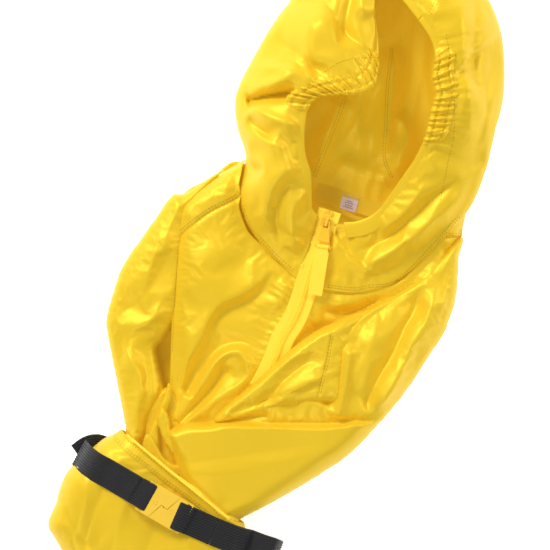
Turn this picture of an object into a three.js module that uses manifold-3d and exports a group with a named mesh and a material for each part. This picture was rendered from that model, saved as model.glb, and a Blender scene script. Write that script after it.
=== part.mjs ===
// A child's packable hooded rain jacket, half stowed in its own belt pouch and lying on its back.
// Millimetres, +Y towards the crown of the hood, +Z up from the floor. Left is the side of -X,
// as seen from above with the crown at the top.
// Soft parts are plain closed solids of the true outer shape. The zips, the sliding pull, the
// clasp and the belt are at their real sizes. Everything is laid out round a datum on the chest,
// and the last lines move the whole jacket so that its origin is the middle of its footprint.
import * as THREE from "three";
import { mergeVertices } from "three/addons/utils/BufferGeometryUtils.js";
import Module from "manifold-3d";

const wasm = await Module();
wasm.setup();

// ---- driving dimensions -------------------------------------------------------------------
const GAP = 0.4; // air left between two sewn or stacked pieces
const WALL = 3; // stand-in thickness of a single layer of puffed nylon
const HOOD_HEIGHT = 92;
const CHIN_HEIGHT = 44;
const BODY_HEIGHT = 38;
const BACK_LAYER = 6;
const HEM_WIDTH = 22; // elastic casing round the face opening
const HEM_THICKNESS = 4.4;
const ELASTIC = { width: 10, thickness: 1 };
const ZIP_SLOT = 13; // half width of the gap that the front zip fills
const TAPE = { width: 12, thickness: 0.8, z: 38.9 };
const COIL = { width: 2.8, height: 2.2, offset: 1.6 };
const COIL_Z = TAPE.z + TAPE.thickness / 2 + 0.3 + COIL.height / 2;
const POUCH_FLOOR = 2.6;
const POUCH_HEIGHT = 58;
const POUCH_WALL = 2.5;
const BELT = { width: 30, thickness: 1.5 };
const CLASP = { length: 43, width: 34, thickness: 5, z: 61.2, turn: -30.4 };
const UP = new THREE.Vector3(0, 0, 1);

// ---- materials ----------------------------------------------------------------------------
const finish = (color, roughness, metalness = 0) =>
  new THREE.MeshStandardMaterial({ color, roughness, metalness });
const nylon = finish(0xffd23a, 0.42);
const tapeCloth = finish(0xffd447, 0.7);
const pullPaint = finish(0xffd64e, 0.35);
const claspPlastic = finish(0xffdc5c, 0.4);
const webbing = finish(0x1c1c1e, 0.85);
const elasticWhite = finish(0xf2efe6, 0.8);
const labelCloth = finish(0xf4eef8, 0.75);

// ---- shape helpers ------------------------------------------------------------------------
const jacket = new THREE.Group();

function add(name, shape, material) {
  const geometry = shape.isBufferGeometry ? shape : toGeometry(shape);
  const mesh = new THREE.Mesh(geometry, material);
  mesh.name = name;
  jacket.add(mesh);
  return mesh;
}

function toSolid(geometry) {
  const bare = geometry.clone();
  bare.deleteAttribute("normal");
  bare.deleteAttribute("uv");
  const merged = mergeVertices(bare, 1e-4);
  return new wasm.Manifold(
    new wasm.Mesh({
      numProp: 3,
      vertProperties: merged.attributes.position.array,
      triVerts: new Uint32Array(merged.index.array),
    }),
  );
}

// A solid of a closed skin, whichever way round its triangles run.
function outwardSolid(geometry) {
  const solid = toSolid(geometry);
  if (solid.volume() > 0) return solid;
  const index = Array.from(geometry.index.array);
  for (let i = 0; i < index.length; i += 3) [index[i + 1], index[i + 2]] = [index[i + 2], index[i + 1]];
  geometry.setIndex(index);
  return toSolid(geometry);
}

function toGeometry(solid) {
  const mesh = solid.getMesh();
  const geometry = new THREE.BufferGeometry();
  geometry.setAttribute("position", new THREE.BufferAttribute(mesh.vertProperties, 3));
  geometry.setIndex(new THREE.BufferAttribute(mesh.triVerts, 1));
  return geometry;
}

const smooth = (low, high, value) => THREE.MathUtils.smoothstep(value, low, high);
const flat = ([x, y]) => new THREE.Vector3(x, y, 0);

// Points evenly spaced round a smooth closed line through the given corners.
function ring(corners, count) {
  return new THREE.CatmullRomCurve3(corners.map(flat), true, "centripetal")
    .getSpacedPoints(count)
    .slice(0, count);
}

// A triangle list from rows of points, each row joined to the next, closed by two end fans.
function skin(rows, startPoint, endPoint) {
  const around = rows[0].length;
  const points = [startPoint, ...rows.flat(), endPoint];
  const last = points.length - 1;
  const at = (row, i) => 1 + row * around + (i % around);
  const index = [];
  for (let i = 0; i < around; i++) {
    index.push(0, at(0, i + 1), at(0, i));
    for (let row = 0; row + 1 < rows.length; row++) {
      index.push(at(row, i), at(row, i + 1), at(row + 1, i + 1));
      index.push(at(row, i), at(row + 1, i + 1), at(row + 1, i));
    }
    index.push(last, at(rows.length - 1, i), at(rows.length - 1, i + 1));
  }
  const geometry = new THREE.BufferGeometry().setFromPoints(points);
  geometry.setIndex(index);
  return geometry;
}

// A cushion-shaped solid of any star-shaped outline, with a flat base. top may be a number or a
// function of x, y.
const PUFF_LEVELS = [-80, -58, -34, 0, 26, 46, 63, 78];
function puff({ outline, centre, floor = 0, top, grow = 0, count = 40 }) {
  const topAt = typeof top === "function" ? top : () => top;
  const [cx, cy] = centre;
  const low = floor - grow;
  const edge = ring(outline, count).map((p) => {
    const reach = Math.hypot(p.x - cx, p.y - cy);
    return [(p.x - cx) * (1 + grow / reach), (p.y - cy) * (1 + grow / reach)];
  });
  const place = (dx, dy, degrees) => {
    const angle = THREE.MathUtils.degToRad(degrees);
    const lower = degrees < 0;
    const share = Math.abs(Math.cos(angle)) ** (lower ? 0.35 : 0.55);
    const x = cx + dx * share;
    const y = cy + dy * share;
    const high = topAt(x, y) + grow;
    const middle = low + (high - low) * 0.4;
    const rise = Math.abs(Math.sin(angle));
    const lift = lower ? Math.min(1, rise ** 0.6 * 1.11) : rise ** 0.9;
    return new THREE.Vector3(x, y, lower ? middle - (middle - low) * lift : middle + (high - middle) * lift);
  };
  const rows = PUFF_LEVELS.map((level) => edge.map(([dx, dy]) => place(dx, dy, level)));
  return outwardSolid(skin(rows, place(0, 0, -90), place(0, 0, 90)));
}

// The height of a puff's upper surface above a point of the plan.
function puffHeight({ outline, centre, floor = 0, top }, x, y) {
  const topAt = typeof top === "function" ? top : () => top;
  const [cx, cy] = centre;
  const bearing = Math.atan2(y - cy, x - cx);
  const turnTo = (p) => Math.abs(Math.atan2(Math.sin(p.a - bearing), Math.cos(p.a - bearing)));
  const edge = ring(outline, 200).map((p) => ({
    a: Math.atan2(p.y - cy, p.x - cx),
    r: Math.hypot(p.x - cx, p.y - cy),
  }));
  const nearest = edge.reduce((best, p) => (turnTo(p) < turnTo(best) ? p : best));
  const share = Math.min(1, Math.hypot(x - cx, y - cy) / nearest.r);
  const rise = Math.sin(Math.acos(share ** (1 / 0.55))) ** 0.9;
  const middle = floor + (topAt(x, y) - floor) * 0.4;
  return middle + (topAt(x, y) - middle) * rise;
}

// A flat strap along a path. across(i) gives the direction of its width; it is level by default.
function band({ path, width, thickness, across }) {
  const points = path.map((p) => (p.isVector3 ? p : new THREE.Vector3(...p)));
  const rows = points.map((p, i) => {
    const along = points[Math.min(i + 1, points.length - 1)]
      .clone()
      .sub(points[Math.max(i - 1, 0)])
      .normalize();
    const side = across ? across.clone() : new THREE.Vector3().crossVectors(UP, along);
    side.normalize();
    const normal = new THREE.Vector3().crossVectors(along, side).normalize();
    const corner = (w, n) =>
      p.clone().addScaledVector(side, (w * width) / 2).addScaledVector(normal, (n * thickness) / 2);
    return [corner(-1, -1), corner(1, -1), corner(1, 1), corner(-1, 1)];
  });
  const middle = (row) => row.reduce((sum, p) => sum.add(p), new THREE.Vector3()).divideScalar(4);
  return outwardSolid(skin(rows, middle(rows[0]), middle(rows[rows.length - 1])));
}

const curve = (corners, steps) =>
  new THREE.CatmullRomCurve3(corners.map((p) => new THREE.Vector3(p[0], p[1], p[2] ?? 0)), false, "centripetal")
    .getSpacedPoints(steps);

// A vertical prism over a closed line of plan points.
function prism(points, low, high) {
  const shape = new THREE.Shape(points.map((p) => new THREE.Vector2(p.x ?? p[0], p.y ?? p[1])));
  const geometry = new THREE.ExtrudeGeometry(shape, { depth: high - low, bevelEnabled: false });
  return toSolid(geometry.translate(0, 0, low));
}

// A closed line moved outwards by a distance, along the normals of its points.
function offset(points, distance) {
  const turn = THREE.ShapeUtils.area(points) > 0 ? 1 : -1;
  return points.map((p, i) => {
    const before = points[(i + points.length - 1) % points.length];
    const after = points[(i + 1) % points.length];
    const along = new THREE.Vector2(after.x - before.x, after.y - before.y).normalize();
    return new THREE.Vector3(p.x + along.y * distance * turn, p.y - along.x * distance * turn, 0);
  });
}

// The plan of a strip of the given half width along an open path, as a closed line.
function strip(path, halfWidth) {
  const side = (sign) =>
    path.map((p, i) => {
      const before = path[Math.max(i - 1, 0)];
      const after = path[Math.min(i + 1, path.length - 1)];
      const along = new THREE.Vector2(after.x - before.x, after.y - before.y).normalize();
      return new THREE.Vector3(p.x - along.y * halfWidth * sign, p.y + along.x * halfWidth * sign, 0);
    });
  return [...side(1), ...side(-1).reverse()];
}

// A path moved sideways in plan, to the left of its direction.
const beside = (path, distance) => strip(path, distance).slice(0, path.length).map((p, i) => p.setZ(path[i].z));

const box = (x0, x1, y0, y1, z0, z1) =>
  toSolid(new THREE.BoxGeometry(x1 - x0, y1 - y0, z1 - z0).translate((x0 + x1) / 2, (y0 + y1) / 2, (z0 + z1) / 2));

// The largest separate body of a solid on one side of the plan line x = limit.
function piece(solid, wanted) {
  return solid
    .decompose()
    .filter((body) => {
      const { min, max } = body.boundingBox();
      return wanted((min[0] + max[0]) / 2, (min[1] + max[1]) / 2);
    })
    .reduce((best, body) => (best && best.volume() > body.volume() ? best : body), null);
}
const largest = (solid) => piece(solid, () => true);

// ---- the front zip's line -----------------------------------------------------------------
const zipTop = [57.8, 68];
const zipBend = [24, -38];
const zipLine = curve([zipTop, [41, 15], zipBend, [8.4, -66], [-2, -93], [-16, -120], [-50, -172], [-78, -205]], 60);
const zipAt = (z, from = 0, to = zipLine.length) => zipLine.slice(from, to).map((p) => p.clone().setZ(z));
const zipDirection = new THREE.Vector3(zipBend[0] - zipTop[0], zipBend[1] - zipTop[1], 0).normalize();
// A cut along the whole zip and on past both its ends.
const zipCut = (halfWidth, low) => {
  const start = zipLine[0].clone().addScaledVector(zipDirection, -14);
  const end = new THREE.Vector3(-112, -256, 0);
  return prism(strip([start, ...zipLine, end], halfWidth), low, 130);
};

// ---- the pouch's mouth --------------------------------------------------------------------
const mouthLeft = new THREE.Vector3(-162, -163, 0);
const mouthRight = new THREE.Vector3(-36, -266, 0);
const mouthWay = mouthRight.clone().sub(mouthLeft).normalize();
const intoPouch = new THREE.Vector3(mouthWay.y, -mouthWay.x, 0);
// Everything on the pouch's side of its mouth, moved into the pouch by a distance.
function pouchSide(shift) {
  const from = mouthLeft.clone().addScaledVector(intoPouch, shift);
  const corner = (along, deep) => from.clone().addScaledVector(mouthWay, along).addScaledVector(intoPouch, deep);
  return prism([corner(-200, 0), corner(-200, 400), corner(400, 400), corner(400, 0)], -5, 130);
}

// ---- hood ---------------------------------------------------------------------------------
const hoodTop = (x, y) =>
  CHIN_HEIGHT + (HOOD_HEIGHT - CHIN_HEIGHT) * smooth(40, 150, y) - 22 * smooth(270, 352, y);
const hoodForm = {
  outline: [
    [200, 65], [216, 92], [230, 149], [240, 200], [240, 252], [228, 289], [208, 320], [172, 343], [121, 352],
    [73, 341], [39, 318], [16, 289], [-17, 238], [-37, 200], [-43, 165], [-35, 121], [-23, 74], [-12, 44],
    [8, 17], [30, -8], [79, -21], [118, -12], [152, 18], [178, 41],
  ],
  centre: [95, 165],
  top: hoodTop,
  count: 56,
};
const rim = ring(
  [
    [38, 72], [31, 110], [31, 150], [46, 184], [80, 205], [100, 235], [105, 268], [108, 292], [115, 308],
    [126, 292], [152, 262], [163, 240], [163, 200], [162, 175], [153, 137], [137, 105], [121, 82], [103, 62],
    [79, 55], [56, 60],
  ],
  96,
);

const hoodShell = puff(hoodForm).subtract(puff({ ...hoodForm, grow: -WALL })).subtract(zipCut(ZIP_SLOT, 15 + GAP));
const hoodSides = hoodShell.subtract(prism(offset(rim, HEM_WIDTH + GAP), 20, 130));
const backStripPlan = [[40, 60], [62, 150], [74, 190], [80, 260], [84, 360], [146, 360], [130, 260], [118, 150], [132, 60]];
const crownPlan = [[78, 262], [72, 366], [166, 366], [160, 262]];
const strips = (grow) => {
  const grown = (plan) => offset(plan.map(flat), grow);
  return prism(grown(backStripPlan), -5, 22 + grow).add(prism(grown(crownPlan), -5, 130));
};
const neckFloor = (grow) => box(-80, 260, -80, 88 + grow, -5, 15 + grow);
const hoodPanels = hoodSides.subtract(strips(GAP)).subtract(neckFloor(GAP));
add("hood_left_panel", piece(hoodPanels, (x) => x < 95), nylon);
add("hood_right_panel", piece(hoodPanels, (x) => x > 95), nylon);
add("hood_centre_panel", largest(hoodSides.intersect(strips(0)).subtract(neckFloor(GAP))), nylon);
add("back_neck_yoke", largest(hoodSides.intersect(neckFloor(0))), nylon);

// The casing of the face opening, in three lengths, with the elastic inside its two sides.
const hemLine = offset(rim, HEM_WIDTH / 2).map((p) => p.setZ(puffHeight(hoodForm, p.x, p.y) - WALL / 2));
function casing(name, from, to, elastic) {
  const path = hemLine.slice(from, to);
  let solid = band({ path, width: HEM_WIDTH, thickness: HEM_THICKNESS });
  if (elastic) {
    const channel = band({ path, width: ELASTIC.width + 2 * GAP, thickness: ELASTIC.thickness + 2 * GAP });
    solid = solid.subtract(channel);
    const held = hemLine.slice(elastic[0], elastic[1]);
    add(elastic[2], band({ path: held, ...ELASTIC }), elasticWhite);
  }
  add(name, largest(solid.subtract(zipCut(ZIP_SLOT + GAP, 15))), nylon);
}
casing("hood_hem_left", 2, 43, [18, 38, "hood_elastic_left"]);
casing("hood_hem_brow", 43, 53, null);
casing("hood_hem_right", 53, 91, [58, 78, "hood_elastic_right"]);

// ---- body ---------------------------------------------------------------------------------
const bodyForm = {
  outline: [
    [-33, 119], [-74, 100], [-103, 84], [-106, 31], [-108, -26], [-110, -79], [-113, -131], [-118, -172],
    [-120, -225], [-60, -260], [0, -215], [55, -170], [92, -140], [118, -105], [142, -60], [168, -20],
    [190, 15], [199, 44], [203, 66], [150, 95], [60, 110],
  ],
  centre: [15, -45],
  top: BODY_HEIGHT,
  count: 48,
};
const body = puff(bodyForm).subtract(puff({ ...hoodForm, grow: GAP })).subtract(pouchSide(-GAP));
add("back_panel", largest(body.intersect(box(-400, 400, -400, 400, -5, BACK_LAYER))), nylon);
const front = body.subtract(box(-400, 400, -400, 400, -5, BACK_LAYER + GAP)).subtract(zipCut(GAP, -5));
const leftYokeSeam = curve([[30, 100], [-10, 92], [-39, 79], [-60, 72], [-89, 53], [-125, 15]], 12);
const rightYokeSeam = curve([[104, 70], [118, 20], [137, 1], [152, 16], [167, 31], [180, 39], [220, 41]], 12);
const panels = front.subtract(prism(strip(leftYokeSeam, GAP / 2), -5, 130)).subtract(
  prism(strip(rightYokeSeam, GAP / 2), -5, 130),
);
add("front_left_panel", piece(panels, (x, y) => x < 20 && y < 0), nylon);
add("front_right_panel", piece(panels, (x, y) => x > 20 && y < 0), nylon);
add("shoulder_yoke_left", piece(panels, (x, y) => x < 0 && y > 40), nylon);
add("shoulder_yoke_right", piece(panels, (x, y) => x > 120 && y > -10), nylon);

// ---- sleeves and the fold of the right side -----------------------------------------------
const leftSleeveForm = {
  outline: [
    [-100, 86], [-109, 79], [-138, 36], [-165, 0], [-178, -45], [-171, -98], [-160, -155], [-150, -180],
    [-120, -190], [-100, -150], [-98, -80], [-96, 0], [-94, 60],
  ],
  centre: [-132, -55],
  top: 36,
};
const bodyKeepOut = puff({ ...bodyForm, grow: GAP });
add(
  "sleeve_left",
  largest(puff(leftSleeveForm).subtract(bodyKeepOut).subtract(pouchSide(-GAP))),
  nylon,
);

const rightSleeveForm = {
  outline: [
    [193, 40], [167, 26], [131, -13], [76, -50], [62, -62], [54, -112], [38, -135], [0, -158], [-50, -156],
    [-92, -158], [-112, -170], [-100, -210], [-60, -262], [-20, -262], [0, -238], [44, -211], [79, -187],
    [110, -155], [137, -124], [162, -85], [184, -45], [193, 0],
  ],
  centre: [60, -168],
  top: (x) => 62 - 12 * smooth(80, 190, x),
  count: 48,
};
const hoodKeepOut = puff({ ...hoodForm, grow: GAP });
add(
  "sleeve_right",
  largest(
    puff(rightSleeveForm)
      .subtract(bodyKeepOut)
      .subtract(hoodKeepOut)
      .subtract(pouchSide(-GAP))
      .subtract(prism(strip(zipLine, ZIP_SLOT + GAP), -5, 50)),
  ),
  nylon,
);

const foldForm = {
  outline: [[64, -55], [30, -72], [2, -92], [-26, -124], [-56, -144], [-20, -143], [28, -132], [48, -112]],
  centre: [15, -112],
  floor: 48.5,
  top: 60,
  count: 28,
};
add("right_side_fold", largest(puff(foldForm).subtract(puff({ ...rightSleeveForm, grow: GAP }))), nylon);

// ---- neck trim ----------------------------------------------------------------------------
const neckLine = curve([[44, 90, 5.6], [68, 83, 5.6], [94, 73, 5.6], [118, 66, 5.6]], 10);
add("neck_tape", band({ path: neckLine, width: 17, thickness: 1.2 }), nylon);
const loopLine = curve([[45, 91, 8.4], [43, 80, 8.4], [54, 75, 8.4], [66, 70, 8.4], [86, 61, 8.4], [104, 58, 8.4], [116, 63, 8.4]], 18);
add("hanger_loop", band({ path: loopLine, width: 4, thickness: 1.6 }), nylon);
add(
  "size_label",
  new THREE.BoxGeometry(18, 13, 0.5).rotateZ(THREE.MathUtils.degToRad(-17)).translate(78.5, 75, 7),
  labelCloth,
);

// ---- front zip ----------------------------------------------------------------------------
const coilEnd = 54;
for (const [side, sign] of [["left", -1], ["right", 1]]) {
  const shift = (distance) => -sign * distance;
  const tape = beside(zipAt(TAPE.z, 0, coilEnd), shift(TAPE.width / 2 + 0.4));
  add(`zip_tape_${side}`, band({ path: tape, width: TAPE.width, thickness: TAPE.thickness }), tapeCloth);
  const coil = beside(zipAt(COIL_Z, 2, coilEnd), shift(COIL.offset));
  add(`zip_coil_${side}`, band({ path: coil, width: COIL.width, thickness: COIL.height }), tapeCloth);
  const stop = beside(zipAt(COIL_Z, 0, 2), shift(COIL.offset + 0.2));
  add(
    `zip_top_stop_${side}`,
    band({ path: [stop[0], stop[0].clone().lerp(stop[1], 0.8)], width: 3, thickness: 2.6 }),
    pullPaint,
  );
}

// The slider straddles the coil. Its own frame has +X along the zip, downwards, and +Z up.
const sliderPlace = new THREE.Vector3(zipTop[0], zipTop[1], 0).addScaledVector(zipDirection, 13);
const zipTurn = Math.atan2(zipDirection.y, zipDirection.x);
const SLIDER = { length: 12, width: 11, skirt: TAPE.z + 0.8, plate: COIL_Z + COIL.height / 2 + 0.5, top: 43.9 };
const PIVOT_Z = 45.5;
function sliderSolid() {
  const plan = [
    [-6, -3.4], [-4, -5.5], [3, -5.5], [6, -4.2], [6, 4.2], [3, 5.5], [-4, 5.5], [-6, 3.4],
  ];
  const shell = prism(plan, SLIDER.skirt, SLIDER.top).subtract(box(-9, 9, -4.3, 4.3, 30, SLIDER.plate));
  const bail = box(-4.6, 4.6, -1.5, 1.5, SLIDER.top - 0.2, PIVOT_Z + 2.2);
  return shell.add(bail.subtract(box(-2.6, 2.6, -3, 3, SLIDER.top, PIVOT_Z + 1.2)));
}
const slider = new THREE.Group();
slider.position.set(sliderPlace.x, sliderPlace.y, 0);
slider.rotation.z = zipTurn;
jacket.add(slider);
slider.add(add("zip_slider", sliderSolid(), pullPaint));

// The pull hangs a little straighter than the zip. Its frame has +X down the pull.
const PULL_TURN = THREE.MathUtils.degToRad(-99);
const PULL = { length: 28, plate: 1.6, bar: 26.4, barDepth: 2.4 };
function pullSolid() {
  const outline = [[-1, -4.2], [9, -4.2], [17, -5.6], [27.6, -8.6], [27.6, 8.6], [17, 5.6], [9, 4.2], [-1, 4.2]];
  const plate = prism(outline, PIVOT_Z - PULL.plate / 2, PIVOT_Z + PULL.plate / 2);
  const window = box(1, 6.4, -2.5, 2.5, 30, 60);
  const slot = box(PULL.bar - PULL.barDepth / 2 - 4.4, PULL.bar - PULL.barDepth / 2, -6.6, 6.6, 30, 60);
  const pin = toSolid(new THREE.CylinderGeometry(0.8, 0.8, 7, 12).translate(0, 0, PIVOT_Z));
  const open = plate.subtract(box(-2, 1.2, -2.5, 2.5, 30, 60)).subtract(window);
  return open.subtract(slot).add(pin);
}
const pull = new THREE.Group();
pull.position.set(sliderPlace.x, sliderPlace.y, 0);
pull.rotation.z = PULL_TURN;
jacket.add(pull);
pull.add(add("zip_pull", pullSolid(), pullPaint));

function tabSolid() {
  const loopOuter = new THREE.CylinderGeometry(2.5, 2.5, 12.4, 16).translate(PULL.bar, 0, PIVOT_Z);
  const loopInner = new THREE.CylinderGeometry(1.8, 1.8, 20, 16).translate(PULL.bar, 0, PIVOT_Z);
  const neck = box(PULL.bar + 2, PULL.bar + 6, -6.2, 6.2, PIVOT_Z - 1, PIVOT_Z + 1);
  const leaf = box(PULL.bar + 5, PULL.bar + 51, -7.5, 7.5, PIVOT_Z - 1, PIVOT_Z + 1);
  return toSolid(loopOuter).add(neck).add(leaf).subtract(toSolid(loopInner));
}
pull.add(add("zip_pull_tab", tabSolid(), tapeCloth));

// ---- pouch --------------------------------------------------------------------------------
const pouchForm = {
  outline: [
    [-125, -110], [-150, -138], [-174, -168], [-190, -181], [-213, -200], [-223, -214], [-231, -240], [-240, -263],
    [-234, -278], [-222, -296], [-204, -316], [-173, -346], [-141, -367], [-115, -374], [-84, -364], [-52, -336],
    [-34, -300], [-30, -274], [-20, -236], [-30, -190], [-75, -130],
  ],
  centre: [-128, -250],
  floor: POUCH_FLOOR,
  top: POUCH_HEIGHT,
  count: 56,
};
const pouchShell = puff(pouchForm).subtract(puff({ ...pouchForm, grow: -POUCH_WALL })).intersect(pouchSide(0));
const POUCH_SEAM = 15;
add("pouch_front", largest(pouchShell.intersect(box(-400, 400, -600, 400, POUCH_SEAM + GAP, 130))), nylon);
add("pouch_back", largest(pouchShell.intersect(box(-400, 400, -600, 400, -5, POUCH_SEAM))), nylon);

// What is already stowed: the skirt of the body between the two sleeves with their cuffs.
const stowed = puff({ ...pouchForm, grow: -POUCH_WALL - GAP }).intersect(pouchSide(GAP));
const alongMouth = (from, to) => {
  const corner = (along, deep) =>
    mouthLeft.clone().addScaledVector(mouthWay, along).addScaledVector(intoPouch, deep);
  return prism([corner(from, -20), corner(from, 300), corner(to, 300), corner(to, -20)], -5, 130);
};
add("packed_sleeve_left", largest(stowed.intersect(alongMouth(-150, 30))), nylon);
add("packed_skirt", largest(stowed.intersect(alongMouth(30 + GAP, 105))), nylon);
add("packed_sleeve_right", largest(stowed.intersect(alongMouth(105 + GAP, 300))), nylon);

// The zip along the mouth: one open half on each wall, meeting in the slider at the right end.
const mouthAt = (along, out, z) =>
  mouthLeft.clone().addScaledVector(mouthWay, along).addScaledVector(intoPouch, -out).setZ(z);
const overBody = (along) => {
  const p = mouthAt(along, 0, 0);
  return puffHeight(pouchForm, p.x, p.y);
};
const mouthSteps = [14, 30, 50, 70, 90, 110, 130, 146];
const frontTape = mouthSteps.map((along) => {
  const inner = mouthAt(along, -5.4, 0);
  return inner.setZ(puffHeight(pouchForm, inner.x, inner.y) + 2.2);
});
add("pouch_zip_tape_front", band({ path: frontTape, width: 9.6, thickness: 0.8 }), tapeCloth);
const frontCoil = mouthSteps.map((along) => {
  const p = mouthAt(along, 1.6, 0);
  const under = mouthAt(along, -5.4, 0);
  return p.setZ(puffHeight(pouchForm, under.x, under.y) + 2.2);
});
add("pouch_zip_coil_front", band({ path: frontCoil, width: 2.4, thickness: 1.8 }), tapeCloth);

// ---- clasp --------------------------------------------------------------------------------
// Its own frame has +X along the belt, to the right, and Z = 0 at its underside.
const clasp = new THREE.Group();
clasp.position.set(-115, -241.5, CLASP.z);
clasp.rotation.z = THREE.MathUtils.degToRad(CLASP.turn);
jacket.add(clasp);
const half = { x: CLASP.length / 2, y: CLASP.width / 2 };
const SPLIT = [[-9.6, -half.y], [-3.7, 0.6], [3.7, -0.6], [9.6, half.y]];
const BAR = { x: 24.8, depth: 2.4, low: 1.3, high: 3.7 };
function claspHalf(sign) {
  const away = (sign * GAP) / 2;
  const seam = SPLIT.map(([x, y]) => [x + away, Math.abs(y) < half.y ? y - away : y]);
  const far = sign * (BAR.x + BAR.depth / 2);
  const plan = [...seam, [far, half.y], [far, -half.y]];
  const slot = [sign * (half.x - 2), sign * (BAR.x - BAR.depth / 2)].sort((a, b) => a - b);
  const arms = [sign * (half.x - 2), sign * 40].sort((a, b) => a - b);
  return prism(plan, 0, CLASP.thickness)
    .subtract(box(slot[0], slot[1], -half.y + 1.7, half.y - 1.7, -1, 9))
    .subtract(box(arms[0], arms[1], -half.y - 1, half.y + 1, BAR.high, 9))
    .subtract(box(arms[0], arms[1], -half.y - 1, half.y + 1, -1, BAR.low));
}
// The left half carries a tongue with a raised lip, which hooks up into the right half.
const tongue = (grow) =>
  box(-6, 13.6 + grow, -8 - grow, 8 + grow, -grow, 2.2 + grow).add(
    box(11.4 - grow, 13.6 + grow, -8 - grow, 8 + grow, 0, 3.6 + grow),
  );
clasp.add(add("clasp_half_left", claspHalf(-1).add(tongue(0)), claspPlastic));
clasp.add(add("clasp_half_right", claspHalf(1).subtract(tongue(GAP)), claspPlastic));

// ---- belt ---------------------------------------------------------------------------------
const beltWay = (degrees) => new THREE.Vector3(Math.cos(degrees), Math.sin(degrees), 0);
const alongBelt = beltWay(THREE.MathUtils.degToRad(CLASP.turn));
const acrossBelt = new THREE.Vector3().crossVectors(UP, alongBelt);
const onBelt = (x, z) => clasp.position.clone().setZ(z).addScaledVector(alongBelt, x);
// The strap's end is folded back under it, after going down round the clasp's bar.
function loopRound(sign) {
  const centre = (BAR.low + BAR.high) / 2;
  const reach = Math.hypot(BAR.depth, BAR.high - BAR.low) / 2 + BELT.thickness / 2 + GAP;
  const turn = [-90, -60, -30, 0, 30, 60, 90].map((degrees) => {
    const angle = THREE.MathUtils.degToRad(degrees);
    return [BAR.x - Math.cos(angle) * reach, centre + Math.sin(angle) * reach];
  });
  const foldedEnd = [[44, 0.1], [36, -0.1], [29, -0.3]];
  const over = [[29, 4.7], [36, 3], [43, 2.3]];
  return [...foldedEnd, ...turn, ...over].map(([x, z]) => onBelt(sign * x, CLASP.z + z));
}
const leftRun = [[56, 62.6], [68, 61.5], [80, 58.5], [92, 53], [101, 44], [106, 33], [107.5, 22], [106, 11], [100, 3.4], [92, 0.85]];
const leftPath = [...loopRound(-1), ...leftRun.map(([x, z]) => onBelt(-x, z)), onBelt(-70, 0.85), onBelt(-34, 0.85)];
add("belt_left", band({ path: leftPath, ...BELT, across: acrossBelt }), webbing);
const leadPath = [...loopRound(1), onBelt(52, 62.8), onBelt(60, 62.4)];
add("belt_lead", band({ path: leadPath, ...BELT, across: acrossBelt }), webbing);
const rightRun = [[60.6, 62.4], [72, 61], [84, 57], [96, 52.5], [108, 46.5], [118, 39], [123, 30], [124, 20], [121, 10], [113, 3], [104, 0.85], [80, 0.85], [40, 0.85]];
add("belt_right", band({ path: rightRun.map(([x, z]) => onBelt(x, z)), ...BELT, across: acrossBelt }), webbing);

// ---- the origin is the middle of the footprint, on the floor --------------------------------
const footprint = new THREE.Box3().setFromObject(jacket);
const middle = footprint.getCenter(new THREE.Vector3());
const object = new THREE.Group();
jacket.position.set(-middle.x, -middle.y, -footprint.min.z);
object.add(jacket);

export default object;
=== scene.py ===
# %% [markdown]
# # A packable rain jacket, half stowed in its belt pouch
#
# The jacket is one thin layer of coated nylon nearly everywhere. It lies on its back, with the hood
# puffed open by air and the skirt and both cuffs already pushed into a belt pouch. The CAD frame
# loaded here has each soft part as a plain cushion at its true size and place, and the zip, clasp
# and belt at their real sizes. This script gives each of them its real surface.

# %% The frame
import math

import bpy
import numpy as np
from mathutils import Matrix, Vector, noise
from mathutils.bvhtree import BVHTree
from mathutils.geometry import delaunay_2d_cdt


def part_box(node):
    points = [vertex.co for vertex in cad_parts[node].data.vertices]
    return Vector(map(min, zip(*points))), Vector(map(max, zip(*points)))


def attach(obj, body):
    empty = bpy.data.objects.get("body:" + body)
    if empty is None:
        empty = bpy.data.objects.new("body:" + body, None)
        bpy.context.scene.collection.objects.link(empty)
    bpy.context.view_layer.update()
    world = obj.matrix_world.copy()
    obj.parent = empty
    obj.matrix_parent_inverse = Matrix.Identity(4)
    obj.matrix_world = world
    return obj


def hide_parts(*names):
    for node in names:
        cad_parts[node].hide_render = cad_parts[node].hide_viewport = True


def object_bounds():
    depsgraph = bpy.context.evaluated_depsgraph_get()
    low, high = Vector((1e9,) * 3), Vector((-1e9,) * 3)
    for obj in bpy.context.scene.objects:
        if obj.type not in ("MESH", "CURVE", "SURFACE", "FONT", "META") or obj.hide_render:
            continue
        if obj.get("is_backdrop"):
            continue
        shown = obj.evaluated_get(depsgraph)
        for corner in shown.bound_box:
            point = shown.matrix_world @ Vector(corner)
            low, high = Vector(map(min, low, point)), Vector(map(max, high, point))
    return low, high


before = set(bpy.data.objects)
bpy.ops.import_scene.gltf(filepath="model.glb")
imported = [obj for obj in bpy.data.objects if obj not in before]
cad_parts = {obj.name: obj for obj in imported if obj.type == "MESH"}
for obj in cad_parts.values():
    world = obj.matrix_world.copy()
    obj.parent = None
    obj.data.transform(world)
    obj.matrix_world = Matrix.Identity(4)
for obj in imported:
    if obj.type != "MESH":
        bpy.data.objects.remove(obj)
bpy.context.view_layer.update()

MM = 0.001

# %% [markdown]
# All the outlines below are points in millimetres about one datum on the chest, the same one
# as the CAD uses. The size label is a known distance from it, so the label's box gives
# the datum's place in the frame, and nothing is fitted by eye.

# %% The datum, the camera and the studio
label_low, label_high = (np.array(corner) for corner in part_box("size_label"))
LABEL = np.array([78.5, 75.0])
DATUM = (label_low[:2] + label_high[:2]) / 2 - LABEL * MM


def place(points):
    """Points in millimetres about the datum, as metres in the frame."""
    points = np.atleast_2d(np.asarray(points, float)) * MM
    return points + [*DATUM, 0]


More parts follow.
